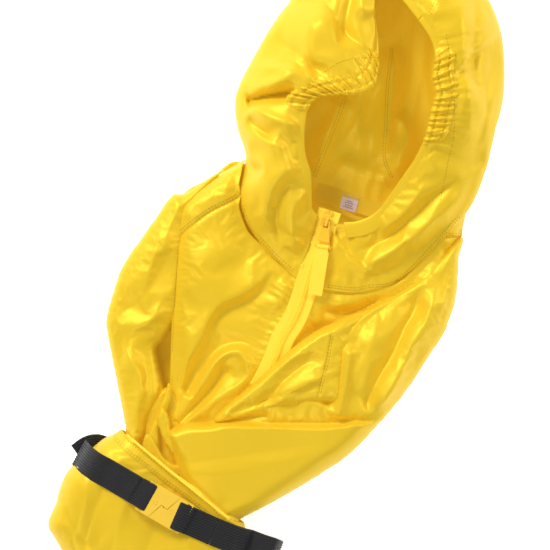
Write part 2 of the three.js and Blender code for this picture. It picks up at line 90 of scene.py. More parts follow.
def collection(obj, material=None, body="jacket", nodes=()):
    """Puts a finished piece in the scene, on its body, in the place of its CAD nodes."""
    if obj.name not in bpy.context.scene.objects:
        bpy.context.scene.collection.objects.link(obj)
    if material:
        obj.data.materials.clear()
        obj.data.materials.append(material)
    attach(obj, body)
    if nodes:
        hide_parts(*nodes)
    return obj


FIELD = 577.5 * MM
CAMERA_HEIGHT = 2.6
camera = bpy.data.objects.new("camera", bpy.data.cameras.new("camera"))
camera.location = (*DATUM, CAMERA_HEIGHT + 0.04)
camera.data.sensor_width = 36
camera.data.lens = 36 * CAMERA_HEIGHT / FIELD
bpy.context.scene.collection.objects.link(camera)
bpy.context.scene.camera = camera


def area_light(name, spot, size, power, target=(0, 0, 0.03)):
    light = bpy.data.objects.new(name, bpy.data.lights.new(name, "AREA"))
    light.data.shape, light.data.size, light.data.energy = "DISK", size, power
    light.location = Vector(spot)
    light.rotation_euler = (Vector(target) - light.location).to_track_quat("-Z", "Y").to_euler()
    bpy.context.scene.collection.objects.link(light)


area_light("key", (-0.95, 1.5, 1.35), 0.8, 35)
area_light("fill", (-0.6, -1.6, 1.7), 1.2, 13)
area_light("edge", (1.8, 0.6, 0.9), 0.8, 12)
bpy.context.scene.view_settings.view_transform = "Standard"

# %% [markdown]
# Shader maths reads best as plain arithmetic. `Wire` wraps one output of a node, so that adding
# or multiplying two wires adds the Math node for it. Every other node comes from `node`, which
# takes the node's type, its settings, and what goes into its sockets.

# %% Wires and nodes
class Wire:
    def __init__(self, tree, socket=None):
        self.tree, self.socket = tree, socket

    def node(self, kind, settings=None, inputs=None, output=0):
        made = self.tree.nodes.new(kind)
        for key, value in (settings or {}).items():
            if key == "stops":
                ramp = made.color_ramp.elements
                while len(ramp) < len(value):
                    ramp.new(1)
                for element, (position, colour) in zip(ramp, value):
                    element.position, element.color = position, (*colour, 1)
            else:
                setattr(made, key, value)
        for key, value in (inputs or {}).items():
            if isinstance(value, Wire):
                self.tree.links.new(value.socket, made.inputs[key])
            else:
                made.inputs[key].default_value = value
        return Wire(self.tree, made.outputs[output])

    def maths(self, operation, *values):
        return self.node("ShaderNodeMath", {"operation": operation}, dict(enumerate(values)))

    def __add__(self, other):
        return self.maths("ADD", self, other)

    def __radd__(self, other):
        return self.maths("ADD", other, self)

    def __sub__(self, other):
        return self.maths("SUBTRACT", self, other)

    def __rsub__(self, other):
        return self.maths("SUBTRACT", other, self)

    def __mul__(self, other):
        return self.maths("MULTIPLY", self, other)

    def __rmul__(self, other):
        return self.maths("MULTIPLY", other, self)

    def __pow__(self, other):
        return self.maths("POWER", self, other)

    def __abs__(self):
        return self.maths("ABSOLUTE", self)


def surface(name, paint, **constants):
    """A material. paint(tree) gives its main shader's links, and the constants its other values."""
    material = bpy.data.materials.new(name)
    material.use_nodes = True
    nodes, links = material.node_tree.nodes, material.node_tree.links
    shader = nodes["Principled BSDF"]
    for key, value in constants.items():
        shader.inputs[key.replace("_", " ")].default_value = value
    for key, wire in paint(Wire(material.node_tree)).items():
        links.new(wire.socket, shader.inputs[key])
    return material


def noisy(tree, scale, detail=3, distortion=0.0, stretch=(1, 1, 1)):
    where = tree.node("ShaderNodeTexCoord", output=3)
    where = tree.node("ShaderNodeVectorMath", {"operation": "MULTIPLY"}, {0: where, 1: stretch})
    return tree.node(
        "ShaderNodeTexNoise", None, {
            "Vector": where, "Scale": scale, "Detail": detail, "Distortion": distortion,
        }
    )


def threads(tree, direction, pitch):
    """The rise and fall of threads of a given pitch in metres, from 0 to 1."""
    where = tree.node("ShaderNodeTexCoord", output=3)
    return tree.node(
        "ShaderNodeTexWave",
        {"bands_direction": direction, "wave_profile": "SIN"},
        {"Vector": where, "Scale": math.pi / 10 / pitch, "Distortion": 0.3, "Detail": 1.0},
        output=1,
    )


def bump(tree, height, distance, strength=1.0, below=None):
    inputs = {"Height": height, "Distance": distance, "Strength": strength}
    if below:
        inputs["Normal"] = below
    return tree.node("ShaderNodeBump", None, inputs)


def tint(tree, share, dark, light):
    return tree.node("ShaderNodeValToRGB", {"stops": [(0.3, dark), (0.7, light)]}, {0: share})

# %% [markdown]
# ## The finishes
#
# The nylon is a fine plain weave with a clear coating, so it has a broad soft gloss, with small
# crinkles that never quite iron out. Those are too small to model, so a bump carries them.

# %% Nylon
YELLOW = (0.85, 0.555, 0.024)
DEEP_YELLOW = (0.81, 0.52, 0.017)


def nylon_paint(tree):
    crinkle = abs(noisy(tree, 22, 3, 0.8) - 0.5) + 0.3 * abs(noisy(tree, 70, 3, 0.9) - 0.5)
    weave = threads(tree, "X", 0.0006) * threads(tree, "Y", 0.0006)
    soft = bump(tree, crinkle, 0.0016, 0.5)
    return {
        "Base Color": tint(tree, noisy(tree, 9, 3), DEEP_YELLOW, YELLOW),
        "Roughness": 0.41 + 0.1 * noisy(tree, 26, 3),
        "Normal": bump(tree, weave, 0.00004, 0.5, soft),
    }


# Both yellow nylon finishes glow weakly in yellow: painted light that lifts their shade. This first one, used
# inside the hood, is a copy of the nylon that glows more strongly: painted light in that shaded hollow.
hood_inside_painted_glow = surface(
    "nylon_hood_inside_painted_glow", nylon_paint, Metallic=0.1, Specular_IOR_Level=0.25, Emission_Color=(0.85, 0.70, 0.03, 1),
    Emission_Strength=0.2,
)
# The main nylon: its weak yellow glow is painted light that lifts its shade.
nylon = surface(
    "glossy_nylon", nylon_paint, Metallic=0.22, Specular_IOR_Level=0.2, Emission_Color=(0.85, 0.66, 0.03, 1),
    Emission_Strength=0.11,
)

# %% Woven tape, coil, paint, plastic, webbing, label
def tape_paint(tree):
    weave = threads(tree, "X", 0.0011) * 0.6 + threads(tree, "Y", 0.0011) * 0.6
    return {
        "Base Color": tint(tree, weave, (0.94, 0.62, 0.022), (1.0, 0.72, 0.045)),
        "Roughness": 0.62 + 0.1 * noisy(tree, 300),
        "Normal": bump(tree, weave, 0.00012, 0.8),
    }


def coil_paint(tree):
    return {
        "Base Color": tint(tree, noisy(tree, 500), (1.0, 0.70, 0.035), (1.0, 0.76, 0.06)),
        "Roughness": 0.36 + 0.1 * noisy(tree, 700),
    }


def enamel_paint(tree):
    worn = noisy(tree, 380, 5)
    return {
        "Base Color": tint(tree, noisy(tree, 60), (0.98, 0.56, 0.02), (1.0, 0.62, 0.03)),
        "Roughness": 0.27 + 0.16 * worn,
        "Normal": bump(tree, worn, 0.00005, 0.5),
    }


def clasp_paint(tree):
    grain = noisy(tree, 1400, 3)
    return {
        "Base Color": tint(tree, noisy(tree, 45), (1.0, 0.60, 0.035), (1.0, 0.66, 0.055)),
        "Roughness": 0.36 + 0.12 * grain,
        "Normal": bump(tree, grain, 0.00006, 0.6),
    }


def webbing_paint(tree):
    knit = noisy(tree, 900, 3, 0.5)
    return {
        "Base Color": tint(tree, knit, (0.004, 0.004, 0.005), (0.014, 0.014, 0.016)),
        "Roughness": 0.72 + 0.2 * knit,
        "Normal": bump(tree, knit, 0.0003, 0.8),
    }


def label_paint(tree):
    weave = threads(tree, "X", 0.0005) * 0.5 + threads(tree, "Y", 0.0007) * 0.5
    return {
        "Base Color": tint(tree, noisy(tree, 60), (0.80, 0.74, 0.86), (0.92, 0.89, 0.95)),
        "Roughness": 0.5 + 0.2 * weave,
        "Normal": bump(tree, weave, 0.00005, 0.6),
    }


def thread_paint(tree):
    twist = threads(tree, "X", 0.0004)
    return {
        "Base Color": tint(tree, twist, (0.46, 0.27, 0.008), (0.58, 0.35, 0.010)),
        "Roughness": 0.5 + 0.1 * twist,
    }


def pale_thread_paint(tree):
    twist = threads(tree, "X", 0.0004)
    return {
        "Base Color": tint(tree, twist, (0.75, 0.70, 0.62), (0.9, 0.87, 0.8)),
        "Roughness": 0.5 + 0.1 * twist,
    }


def neck_tape_paint(tree):
    weave = threads(tree, "X", 0.0011) * 0.5 + threads(tree, "Y", 0.0011) * 0.5
    return {
        "Base Color": tint(tree, weave, (0.84, 0.60, 0.016), (0.92, 0.66, 0.022)),
        "Roughness": 0.6 + 0.1 * noisy(tree, 300),
        "Normal": bump(tree, weave, 0.00012, 0.8),
    }


# The neck tape and the hanger loop glow weakly in yellow: painted light that lifts the shade they lie in.
neck_cloth = surface(
    "neck_tape_weave", neck_tape_paint, Emission_Color=(0.8, 0.6, 0.03, 1), Emission_Strength=0.1,
)
# The zip's tapes and coils glow weakly in yellow: painted light that lifts the shade of the trench they lie
# in.
GLOW = {"Emission_Color": (0.85, 0.64, 0.03, 1), "Emission_Strength": 0.2}
tape_cloth = surface("zip_tape_weave", tape_paint, **GLOW)
coil_nylon = surface("zip_coil_nylon", coil_paint, **GLOW)
enamel = surface("zip_enamel", enamel_paint, Coat_Weight=0.25)
clasp_plastic = surface("clasp_plastic", clasp_paint)
webbing = surface("ribbed_webbing", webbing_paint, Sheen_Weight=0.2)
label_satin = surface("label_satin", label_paint)
thread = surface("sewing_thread", thread_paint)
pale_thread = surface("pale_thread", pale_thread_paint)
print("finishes:", len(bpy.data.materials))

# %% [markdown]
# ## Curves, distances and folds
#
# Cloth lying loose is mostly a smooth swell broken by folds. Each fold here is a curve on the plan
# with a height and a width on each side, so one side can be steep and the other soft, as a real
# fold is. The functions work on thousands of points at once with numpy.

# %% Curves
def evenly(path, step, closed=False):
    length = np.concatenate([[0], np.cumsum(np.linalg.norm(np.diff(path, axis=0), axis=1))])
    count = max(2, round(length[-1] / step))
    at = np.linspace(0, length[-1], count + 1)
    even = np.stack([np.interp(at, length, column) for column in path.T], 1)
    return even[:-1] if closed else even


def spline(corners, step, closed=False):
    """A smooth line through given corners, as points a step apart."""
    p = np.array(corners, float)
    if closed:
        padded = np.vstack([p[-1], p, p[:2]])
    else:
        padded = np.vstack([2 * p[0] - p[1], p, 2 * p[-1] - p[-2]])
    t = np.linspace(0, 1, 14, endpoint=False)[:, None]
    rows = []
    for a, b, c, d in zip(padded, padded[1:], padded[2:], padded[3:]):
        rows.append(b + 0.5 * t * (c - a + t * (2 * a - 5 * b + 4 * c - d + t * (3 * (b - c) + d - a))))
    rows.append(p[:1] if closed else p[-1:])
    return evenly(np.vstack(rows), step, closed)


def ramp(low, high, value):
    """0 below low, 1 above high, and smooth between them."""
    share = np.clip((np.asarray(value, float) - low) / (high - low), 0, 1)
    return share * share * (3 - 2 * share)


def near(xy, path):
    """How far each point is from a path, on which side of it (1 is left), and how far along it, in mm."""
    best, side, along = np.full(len(xy), 1e9), np.ones(len(xy)), np.zeros(len(xy))
    start = 0.0
    for a, b in zip(path[:-1], path[1:]):
        step = b - a
        length = max(float(np.hypot(*step)), 1e-6)
        t = np.clip((xy - a) @ step / length**2, 0, 1)
        gap = xy - (a + t[:, None] * step)
        distance = np.hypot(gap[:, 0], gap[:, 1])
        closer = distance < best
        best[closer] = distance[closer]
        side[closer] = np.sign(step[0] * gap[:, 1] - step[1] * gap[:, 0])[closer]
        along[closer] = (start + t * length)[closer]
        start += length
    return best, side, along

# %% Folds and puckers
def fold(xy, corners, height, left, right=None, fade=(0.2, 0.2), power=1.35):
    """The rise of a fold whose crest follows a curve, fading towards its two ends."""
    path = spline(corners, 4)
    total = np.linalg.norm(np.diff(path, axis=0), axis=1).sum()
    gap, side, along = near(xy, path)
    along = along / total
    ends = ramp(0, max(fade[0], 1e-3), along) * ramp(0, max(fade[1], 1e-3), 1 - along)
    width = np.where(side > 0, left, right or left)
    return height * ends * np.exp(-((gap / width) ** power))


def shelf(xy, corners, height, left, fade=(0.15, 0.15), step=3.0):
    """A layer that starts at a curve and stands above the cloth on its left, dying away over a distance."""
    path = spline(corners, 4)
    total = np.linalg.norm(np.diff(path, axis=0), axis=1).sum()
    gap, side, along = near(xy, path)
    along = along / total
    ends = ramp(0, max(fade[0], 1e-3), along) * ramp(0, max(fade[1], 1e-3), 1 - along)
    signed = gap * side
    return height * ends * ramp(-step, step, signed) * np.exp(-np.clip(signed, 0, None) / left)


def pucker(xy, corners, pitch, depth, reach, sides=(1, 1)):
    """Small gathers that cross a seam at right angles and die away on both sides of it."""
    gap, side, along = near(xy, spline(corners, 4))
    beat = along / pitch * 2 * math.pi
    wave = np.sin(beat + 1.3 * np.sin(beat * 0.31) + 0.05 * gap) * (0.7 + 0.3 * np.sin(beat * 0.43 + 1))
    share = np.where(side > 0, sides[0], sides[1])
    return depth * share * wave * np.exp(-((gap / reach) ** 1.3)) * ramp(0, 2.5, gap)


def crumple(xy, angle, length, width, height, seed):
    """Long shallow ridges in one direction, from a noise that is stretched along them."""
    turn = math.radians(angle)
    u = (xy[:, 0] * math.cos(turn) + xy[:, 1] * math.sin(turn)) / length
    v = (xy[:, 1] * math.cos(turn) - xy[:, 0] * math.sin(turn)) / width
    values = np.array(
        [
            noise.noise(Vector((a + 0.35 * math.sin(b), b + 0.3 * math.sin(2.1 * a), seed))) for a,
            b in zip(u, v)
        ]
    )
    return height * (0.5 - np.abs(values) * 1.6)

# %% [markdown]
# ## From an outline to a sheet of cloth
#
# `flat_sheet` fills an outline with an even net of triangles, which folds well in every direction.
# `settle` then lets Blender's cloth solver have the sheet for a few frames: it grows by a few per
# cent while its seams stay pinned, so it buckles into the small wrinkles that no curve would give.

# %% Nets
def inside(xy, outline):
    x, y = xy[:, 0], xy[:, 1]
    found = np.zeros(len(xy), bool)
    for (x0, y0), (x1, y1) in zip(outline, np.roll(outline, -1, axis=0)):
        if y0 == y1:
            continue
        crosses = (y0 > y) != (y1 > y)
        found ^= crosses & (x < (x1 - x0) * (y - y0) / (y1 - y0) + x0)
    return found


def flat_sheet(outline, spacing):
    """Points and triangles that fill a closed outline, with the outline's own points first."""
    low, high = outline.min(0), outline.max(0)
    rows = np.arange(low[1], high[1], spacing * 0.866)
    columns = np.arange(low[0], high[0], spacing)
    x, y = np.meshgrid(columns, rows)
    x = x + (np.arange(len(rows)) % 2)[:, None] * spacing / 2
    net = np.stack([x.ravel(), y.ravel()], 1)
    net = net[inside(net, outline)]
    gap, _, _ = near(net, np.vstack([outline, outline[:1]]))
    net = net[gap > spacing * 0.55]
    points = [Vector(p) for p in np.vstack([outline, net])]
    loop = list(range(len(outline)))
    made, _, faces, *_ = delaunay_2d_cdt(points, [], [loop], 1, 1e-5)
    return np.array([tuple(p) for p in made]), [tuple(f) for f in faces], len(outline)


def cloth_object(name, points, faces):
    mesh = bpy.data.meshes.new(name)
    mesh.from_pydata([tuple(p) for p in place(points)], [], [tuple(int(i) for i in f) for f in faces])
    mesh.validate()
    mesh.update()
    obj = bpy.data.objects.new(name, mesh)
    bpy.context.scene.collection.objects.link(obj)
    obj.data.shade_smooth()
    return obj


def coordinates(mesh):
    flat = np.empty(len(mesh.vertices) * 3)
    mesh.vertices.foreach_get("co", flat)
    return flat.reshape(-1, 3)


def thickness(obj, amount=0.5, levels=0):
    """The cloth's own thickness, and a finer net if asked."""
    if levels:
        finer = obj.modifiers.new("finer", "SUBSURF")
        finer.levels = finer.render_levels = levels
    layer = obj.modifiers.new("layer", "SOLIDIFY")
    layer.thickness, layer.offset = amount * MM, -1
    return obj


def settle(obj, pinned, grow=0.02, frames=14, cap=6.0, stiffness=12):
    """Lets the cloth buckle: it grows while its pins stay, and no point moves further than cap mm."""
    before = coordinates(obj.data)
    pins = obj.vertex_groups.new(name="pins")
    for weight in (0.25, 0.5, 0.75, 1.0):
        members = np.nonzero((pinned > weight - 0.25) & (pinned <= weight))[0]
        pins.add([int(i) for i in members], weight, "REPLACE")
    cloth = obj.modifiers.new("cloth", "CLOTH")
    use = cloth.settings
    use.quality, use.mass = 5, 0.15
    use.tension_stiffness = use.compression_stiffness = 30
    use.shear_stiffness, use.bending_stiffness = 6, stiffness
    use.air_damping = 2
    use.vertex_group_mass, use.shrink_min = "pins", -grow
    use.effector_weights.gravity = 0
    cloth.collision_settings.use_collision = False
    cloth.point_cache.frame_end = frames
    for number in range(1, frames + 1):
        bpy.context.scene.frame_set(number)
    settled = obj.evaluated_get(bpy.context.evaluated_depsgraph_get())
    after = coordinates(settled.data)
    obj.modifiers.remove(cloth)
    obj.vertex_groups.clear()
    bpy.context.scene.frame_set(1)
    move = np.nan_to_num(after - before)
    reach = np.linalg.norm(move, axis=1, keepdims=True)
    limit = cap * MM
    move *= np.where(reach > 1e-9, limit * np.tanh(reach / limit) / np.maximum(reach, 1e-9), 0)
    obj.data.vertices.foreach_set("co", (before + move).ravel())
    obj.data.update()
    print(obj.name, "settled, furthest move", round(float(reach.max() / MM), 1), "mm")
    return obj

# %% Straps and tubes
def smooth_path(points, rounds=1):
    points = np.array(points, float)
    for _ in range(rounds):
        points[1:-1] = (points[:-2] + 2 * points[1:-1] + points[2:]) / 4
    return points


def ribbon(name, path, width, height, across=None, profile=None, round_count=28):
    """A strap or hem along a path in mm. profile(angle, along) gives its section, from -1 to 1."""
    path = np.array(path, float)
    ahead = np.gradient(path, axis=0)
    ahead /= np.linalg.norm(ahead, axis=1, keepdims=True)
    up = np.array([0, 0, 1.0])
    side = np.tile(across, (len(path), 1)) if across is not None else np.cross(up, ahead)
    side = side / np.linalg.norm(side, axis=1, keepdims=True)
    normal = np.cross(ahead, side)
    along = np.concatenate([[0], np.cumsum(np.linalg.norm(np.diff(path, axis=0), axis=1))])
    angle = np.linspace(0, 2 * math.pi, round_count, endpoint=False)
    widths = np.broadcast_to(width, len(path))
    points = []
    for i in range(len(path)):
        w, h = profile(angle, along[i]) if profile else (np.cos(angle), np.sin(angle))
        ring = path[i] + np.outer(w * widths[i] / 2, side[i]) + np.outer(h * height / 2, normal[i])
        points.append(ring)
    faces = []
    for i in range(len(path) - 1):
        for j in range(round_count):
            k = (j + 1) % round_count
            low, high = i * round_count, (i + 1) * round_count
            faces.append((low + j, low + k, high + k, high + j))
    faces.append(tuple(range(round_count))[::-1])
    faces.append(tuple((len(path) - 1) * round_count + j for j in range(round_count)))
    return cloth_object(name, np.vstack(points), faces)


def flat_profile(angle, along):
    """A strap's section: flat above and below, with round edges."""
    c, s = np.cos(angle), np.sin(angle)
    return np.sign(c) * np.abs(c) ** 0.25, np.sign(s) * np.abs(s) ** 0.55

# %% Stitches
def drop(points, trees, lift=0.15):
    """Each plan point's height on the highest of the surfaces below it, in mm."""
    heights = []
    for x, y, z in place(np.column_stack([points, np.zeros(len(points))])):
        hits = [tree.ray_cast(Vector((x, y, 0.2)), Vector((0, 0, -1)))[0] for tree in trees]
        levels = [hit.z / MM for hit in hits if hit]
        heights.append(max(levels) + lift if levels else np.nan)
    return np.array(heights)


def tree_of(*objs):
    graph = bpy.context.evaluated_depsgraph_get()
    return [BVHTree.FromObject(obj, graph) for obj in objs]


def stitch_line(
    name, corners, trees, pitch=3.4, length=2.4, size=0.55, material=None, body="jacket", offset=0.0,
):
    """A row of sewn stitches lying on the cloth along a curve, each a small lozenge of thread."""
    path = spline(corners, pitch)
    if offset:
        ahead = np.gradient(path, axis=0)
        ahead /= np.linalg.norm(ahead, axis=1, keepdims=True)
        path = path + offset * np.stack([-ahead[:, 1], ahead[:, 0]], 1)
    height = drop(path, trees)
    ahead = np.gradient(path, axis=0)
    points, faces = [], []
    for i, ((x, y), z) in enumerate(zip(path, height)):
        if not np.isfinite(z):
            continue
        before, after = height[max(i - 1, 0)], height[min(i + 1, len(path) - 1)]
        rise = np.clip(np.nan_to_num(after - before), -3, 3)
        way = np.array([*ahead[i], rise / 2])
        way /= np.linalg.norm(way)
        side = np.array([-way[1], way[0], 0]) / max(np.hypot(way[0], way[1]), 1e-6)
        lift = np.cross(way, side)
        centre, first = np.array([x, y, z]), len(points)
        for share, wide in ((-0.5, 0.25), (-0.3, 1), (0.3, 1), (0.5, 0.25)):
            for s, u in ((-1, 0), (0, 0.8), (1, 0), (0, -0.8)):
                points.append(centre + way * share * length + (side * s + lift * u) * wide * size / 2)
        for r in range(3):
            for j in range(4):
                k = (j + 1) % 4
                a, b = first + r * 4, first + r * 4 + 4
                faces.append((a + j, a + k, b + k, b + j))
        faces.append((first + 3, first + 2, first + 1, first))
        faces.append((first + 12, first + 13, first + 14, first + 15))
    obj = cloth_object(name, np.array(points), faces)
    return collection(obj, material or thread, body)

# %% [markdown]
# ## The body
#
# The front is one swell of cloth about 38 mm above the floor. Everything is drawn together
# towards the pouch's mouth, so most folds run to one gathering point there. The same height field
# serves the left front, both yokes and the upper right front, so their seams meet exactly.

# %% The body's lines
GATHER = (-113, -166)
CHEST = 37.0
LEFT_SHOULDER = [(-30, 124), (-44, 117), (-68, 103), (-95, 86), (-104, 82)]
RIGHT_SHOULDER = [(193, -30), (194, 0), (195, 20), (197, 44), (202, 64), (205, 74)]
ARMHOLE = [(-103, 82), (-104, 26), (-108, -26), (-110, -79), (-112, -131), (-118, -170)]
LEFT_YOKE = [(-36, 85), (-42, 79), (-68, 66), (-86, 53), (-97, 44), (-105, 31)]
RIGHT_YOKE = [(130, -6), (138, 1), (152, 16), (167, 32), (176, 39), (198, 40)]
ZIP = [(57.8, 68), (41, 15), (24, -38), (8.4, -66), (-2, -93), (-16, -120), (-50, -172)]
NECK_LEFT = [(-36, 118), (-41, 95), (-38, 71), (-29, 47), (-16, 33), (0, 16), (18, 1), (27, -8)]
NECK_RIGHT = [(44, -13), (54, -15), (61, -19), (83, -19), (100, -16), (129, -11), (163, 21), (200, 62)]


def body_height(xy):
    x, y = xy[:, 0], xy[:, 1]
    z = np.full(len(xy), CHEST)
    arm, *_ = near(xy, spline(ARMHOLE, 4))
    z -= 11 * np.exp(-((arm / 11) ** 1.3))
    # a crest from the chest to the gathering point, where the cloth turns down on its right
    crest = [(2, 16), (-13, -2), (-31, -18), (-62, -35), (-77, -64), (-93, -96), (-105, -139), GATHER]
    z += shelf(xy, crest, -10, 34, (0.25, 0.03), 4) * ramp(0, 14, near(xy, spline(crest, 4))[0] + 3)
    z += fold(xy, crest, 3, 5, 22, (0.2, 0.05), 2)
    # the looped fold under it, and the deep crease inside the loop
    z += fold(
        xy,
        [(-36, -104), (-30, -92), (-36, -82), (-48, -82), (-60, -91), (-74, -111), (-90, -134), (-108, -161)],
        9, 6, 7, (0.1, 0.03), 1.6,
    )
    z -= fold(
        xy, [(-40, -98), (-52, -102), (-66, -118), (-86, -140), (-108, -162)], 8, 5, 7, (0.15, 0.03), 1.6,
    )
    z -= fold(xy, [(-24, -72), (-42, -72), (-60, -80), (-76, -98), (-94, -128)], 6, 5, 8, (0.25, 0.05), 1.6)
    z += fold(xy, [(0, -88), (-16, -98), (-34, -112), (-62, -132), (-102, -160)], 6, 7, 9, (0.2, 0.03))
    z -= fold(xy, [(-96, -50), (-98, -90), (-104, -130), (-112, -160)], 5, 4, 5, (0.4, 0.03))
    # soft swells on the chest
    z += fold(xy, [(-60, 50), (-72, 10), (-84, -40)], 5, 26, 22, (0.4, 0.4), 2)
    z -= fold(xy, [(-18, 40), (-34, 14), (-52, -4)], 3, 12, 12, (0.3, 0.3), 2)
    z += fold(xy, [(20, -4), (4, -28), (-18, -42)], 5, 8, 12, (0.2, 0.4), 2)
    # the right front, above the fold that crosses the zip
    z += fold(xy, [(60, -24), (80, -30), (104, -22), (130, -14)], 4, 6, 8, (0.2, 0.3))
    z -= fold(xy, [(48, -36), (66, -40), (90, -34), (116, -20)], 7, 6, 6, (0.1, 0.3))
    z += fold(xy, [(172, 34), (168, 16), (158, -2), (150, -16)], 5, 7, 9, (0.2, 0.3))
    z += pucker(xy, NECK_LEFT, 11, 1.0, 10) + pucker(xy, NECK_RIGHT, 11, 1.0, 10)
    z -= 9 * np.exp(
        -((near(xy, spline([(44, -59), (61, -51), (100, -30), (131, -12), (176, 26)], 4))[0] / 12) ** 1.5)
    )
    z += crumple(xy, -60, 70, 26, 1.0, 1.7) * ramp(0, 14, arm)
    # the cloth lies flat under the zip and drops into the neck seam
    zip_gap, _, _ = near(xy, spline(ZIP, 4))
    z = z + (CHEST + 0.6 - z) * (1 - ramp(9, 20, zip_gap))
    z += pucker(xy, [(32, 22), (28, 0), (11, -27), (0, -54), (-18, -102)], 7.5, 1.7, 11)
    z += pucker(xy, [(46, -4), (38, -32), (26, -58)], 8, 1.4, 10)
    for seam in (NECK_LEFT, NECK_RIGHT):
        gap, _, _ = near(xy, spline(seam, 4))
        z = z + (CHEST - 3 - z) * np.exp(-((gap / 6) ** 1.6)) * ramp(6, 20, zip_gap)
    for seam in (LEFT_YOKE, RIGHT_YOKE):
        gap, _, _ = near(xy, spline(seam, 4))
        z -= 1.6 * np.exp(-((gap / 1.8) ** 2))
    edge = np.minimum(near(xy, spline(LEFT_SHOULDER, 4))[0], near(xy, spline(RIGHT_SHOULDER, 4))[0])
    crown = 1 - np.clip(edge / 26, 0, 1)
    return 1.2 + (z - 1.2) * np.sqrt(np.clip(1 - crown**2.4, 0, 1))


def body_piece(name, outline, nodes, spacing=3.0, grow=0.012, seams=(), cap=3.0):
    """One cut piece of the front: its net, its heights, its wrinkles, and its place in the frame."""
    xy, faces, _ = flat_sheet(evenly(np.vstack([outline, outline[:1]]), 3, True), spacing)
    z = body_height(xy)
    obj = cloth_object(name, np.column_stack([xy, z]), faces)
    gap, _, _ = near(xy, np.vstack([outline, outline[:1]]))
    held = 1 - ramp(1, 14, gap)
    for seam in seams:
        held = np.maximum(held, 1 - ramp(3, 12, near(xy, spline(seam, 4))[0]))
    settle(obj, np.ceil(held * 4) / 4, grow=grow, cap=cap)
    thickness(obj, 0.5, 1)
    collection(obj, nylon, "jacket", nodes)
    return obj

# %% The left front and its yoke
def joined(*paths):
    return np.vstack([spline(path, 3) if len(path) > 2 else np.array(path, float) for path in paths])


left_front = body_piece(
    "left_front",
    joined(
        LEFT_YOKE, ARMHOLE[1:], [(-112, -172), (-90, -185)], [(-70, -180), (-50, -172)], ZIP[::-1][:-2],
        [(30, -4), (27, -8)], NECK_LEFT[:0:-1][:-1],
    ),
    ["front_left_panel"],
    spacing=2.8,
    seams=[ZIP, NECK_LEFT],
)
left_yoke = body_piece(
    "left_yoke",
    joined(LEFT_SHOULDER, [(-105, 60), (-105, 31)], LEFT_YOKE[::-1], [(-38, 95), (-34, 118)]),
    ["shoulder_yoke_left"],
)
right_front = body_piece(
    "right_front",
    joined(
        ZIP[:6], [(20, -130), (60, -110)], [(110, -60), (150, -30)], [(192, -20), (196, 40)],
        RIGHT_YOKE[::-1], [(120, -10), (90, -16)], [(70, -17), (46, -12)], [(40, 0), (45, 20)],
    ),
    ["front_right_panel"],
    seams=[ZIP, NECK_RIGHT],
)
right_yoke = body_piece(
    "right_yoke",
    joined(RIGHT_YOKE, [(199, 50), (204, 70)], [(190, 66), (150, 30)]),
    ["shoulder_yoke_right"],
)

# %% [markdown]
# ## Closed pieces: sleeves, the fold and the pouch
#
# A sleeve is a flattened tube. `pad` makes a net for its outline twice, above and below, and
# rounds both towards the outline, so the piece is closed all round. A height function and a base
# function say how thick it is, and the same folds work on it.

# %% Pads
def pad(
    name, corners, top, floor, edge, folds, spacing=3.2, grow=0.016, cap=3.5, power=2.3, swell=1.6, hold=None,
):
    """A closed, flattened tube. edge is how far in from the outline the rounding reaches."""
    outline = spline(corners, 3, True)
    ahead = np.roll(outline, -1, axis=0) - np.roll(outline, 1, axis=0)
    ahead /= np.linalg.norm(ahead, axis=1, keepdims=True)
    out = np.stack([ahead[:, 1], -ahead[:, 0]], 1)
    x, y = outline.T
    out *= np.sign(np.sum(x * np.roll(y, -1) - np.roll(x, -1) * y))
    outline = outline + swell * out
    xy, faces, rim = flat_sheet(outline, spacing)
    edge = edge(xy) if callable(edge) else edge
    ring = np.vstack([outline, outline[:1]])
    gap, _, _ = near(xy, ring)
    gap[:rim] = 0
    crown = np.sqrt(np.clip(1 - (1 - np.clip(gap / edge, 0, 1)) ** power, 0, 1))
    high = top(xy) if callable(top) else np.full(len(xy), float(top))
    low = floor(xy) if callable(floor) else np.full(len(xy), float(floor))
    middle = low + (high - low) * 0.42
    upper = middle + (high - middle + folds(xy) * ramp(0, edge * 0.8, gap)) * crown
    belly = np.sqrt(np.clip(1 - (1 - np.clip(gap / (edge * 0.55), 0, 1)) ** 2, 0, 1))
    lower = middle - (middle - low) * belly
    count = len(xy)
    under = np.arange(count)
    under[rim:] = np.arange(count, 2 * count - rim)
    points = np.vstack([np.column_stack([xy, upper]), np.column_stack([xy, lower])[rim:]])
    both = list(faces) + [tuple(int(under[i]) for i in f[::-1]) for f in faces]
    obj = cloth_object(name, points, both)
    held = 1 - ramp(2, 16, gap)
    if hold:
        held = np.maximum(held, hold(xy))
    held = np.concatenate([held, np.ones(count - rim)])
    settle(obj, np.ceil(held * 4) / 4, grow=grow, cap=cap)
    return obj

# %% The left sleeve
LEFT_SLEEVE = [
    (-60, 106), (-68, 103), (-95, 86), (-105, 85), (-111, 81), (-132, 51), (-160, 10), (-171, -20),
    (-178, -46),
    (-177, -60), (-171, -92), (-160, -147), (-157, -165), (-162, -186), (-150, -198), (-142, -182),
    (-135.5, -166),
    (-133, -152), (-125, -137), (-118, -125), (-121, -105), (-126, -78), (-114, -63), (-98, -30), (-94, 26),
    (-84, 74),
]


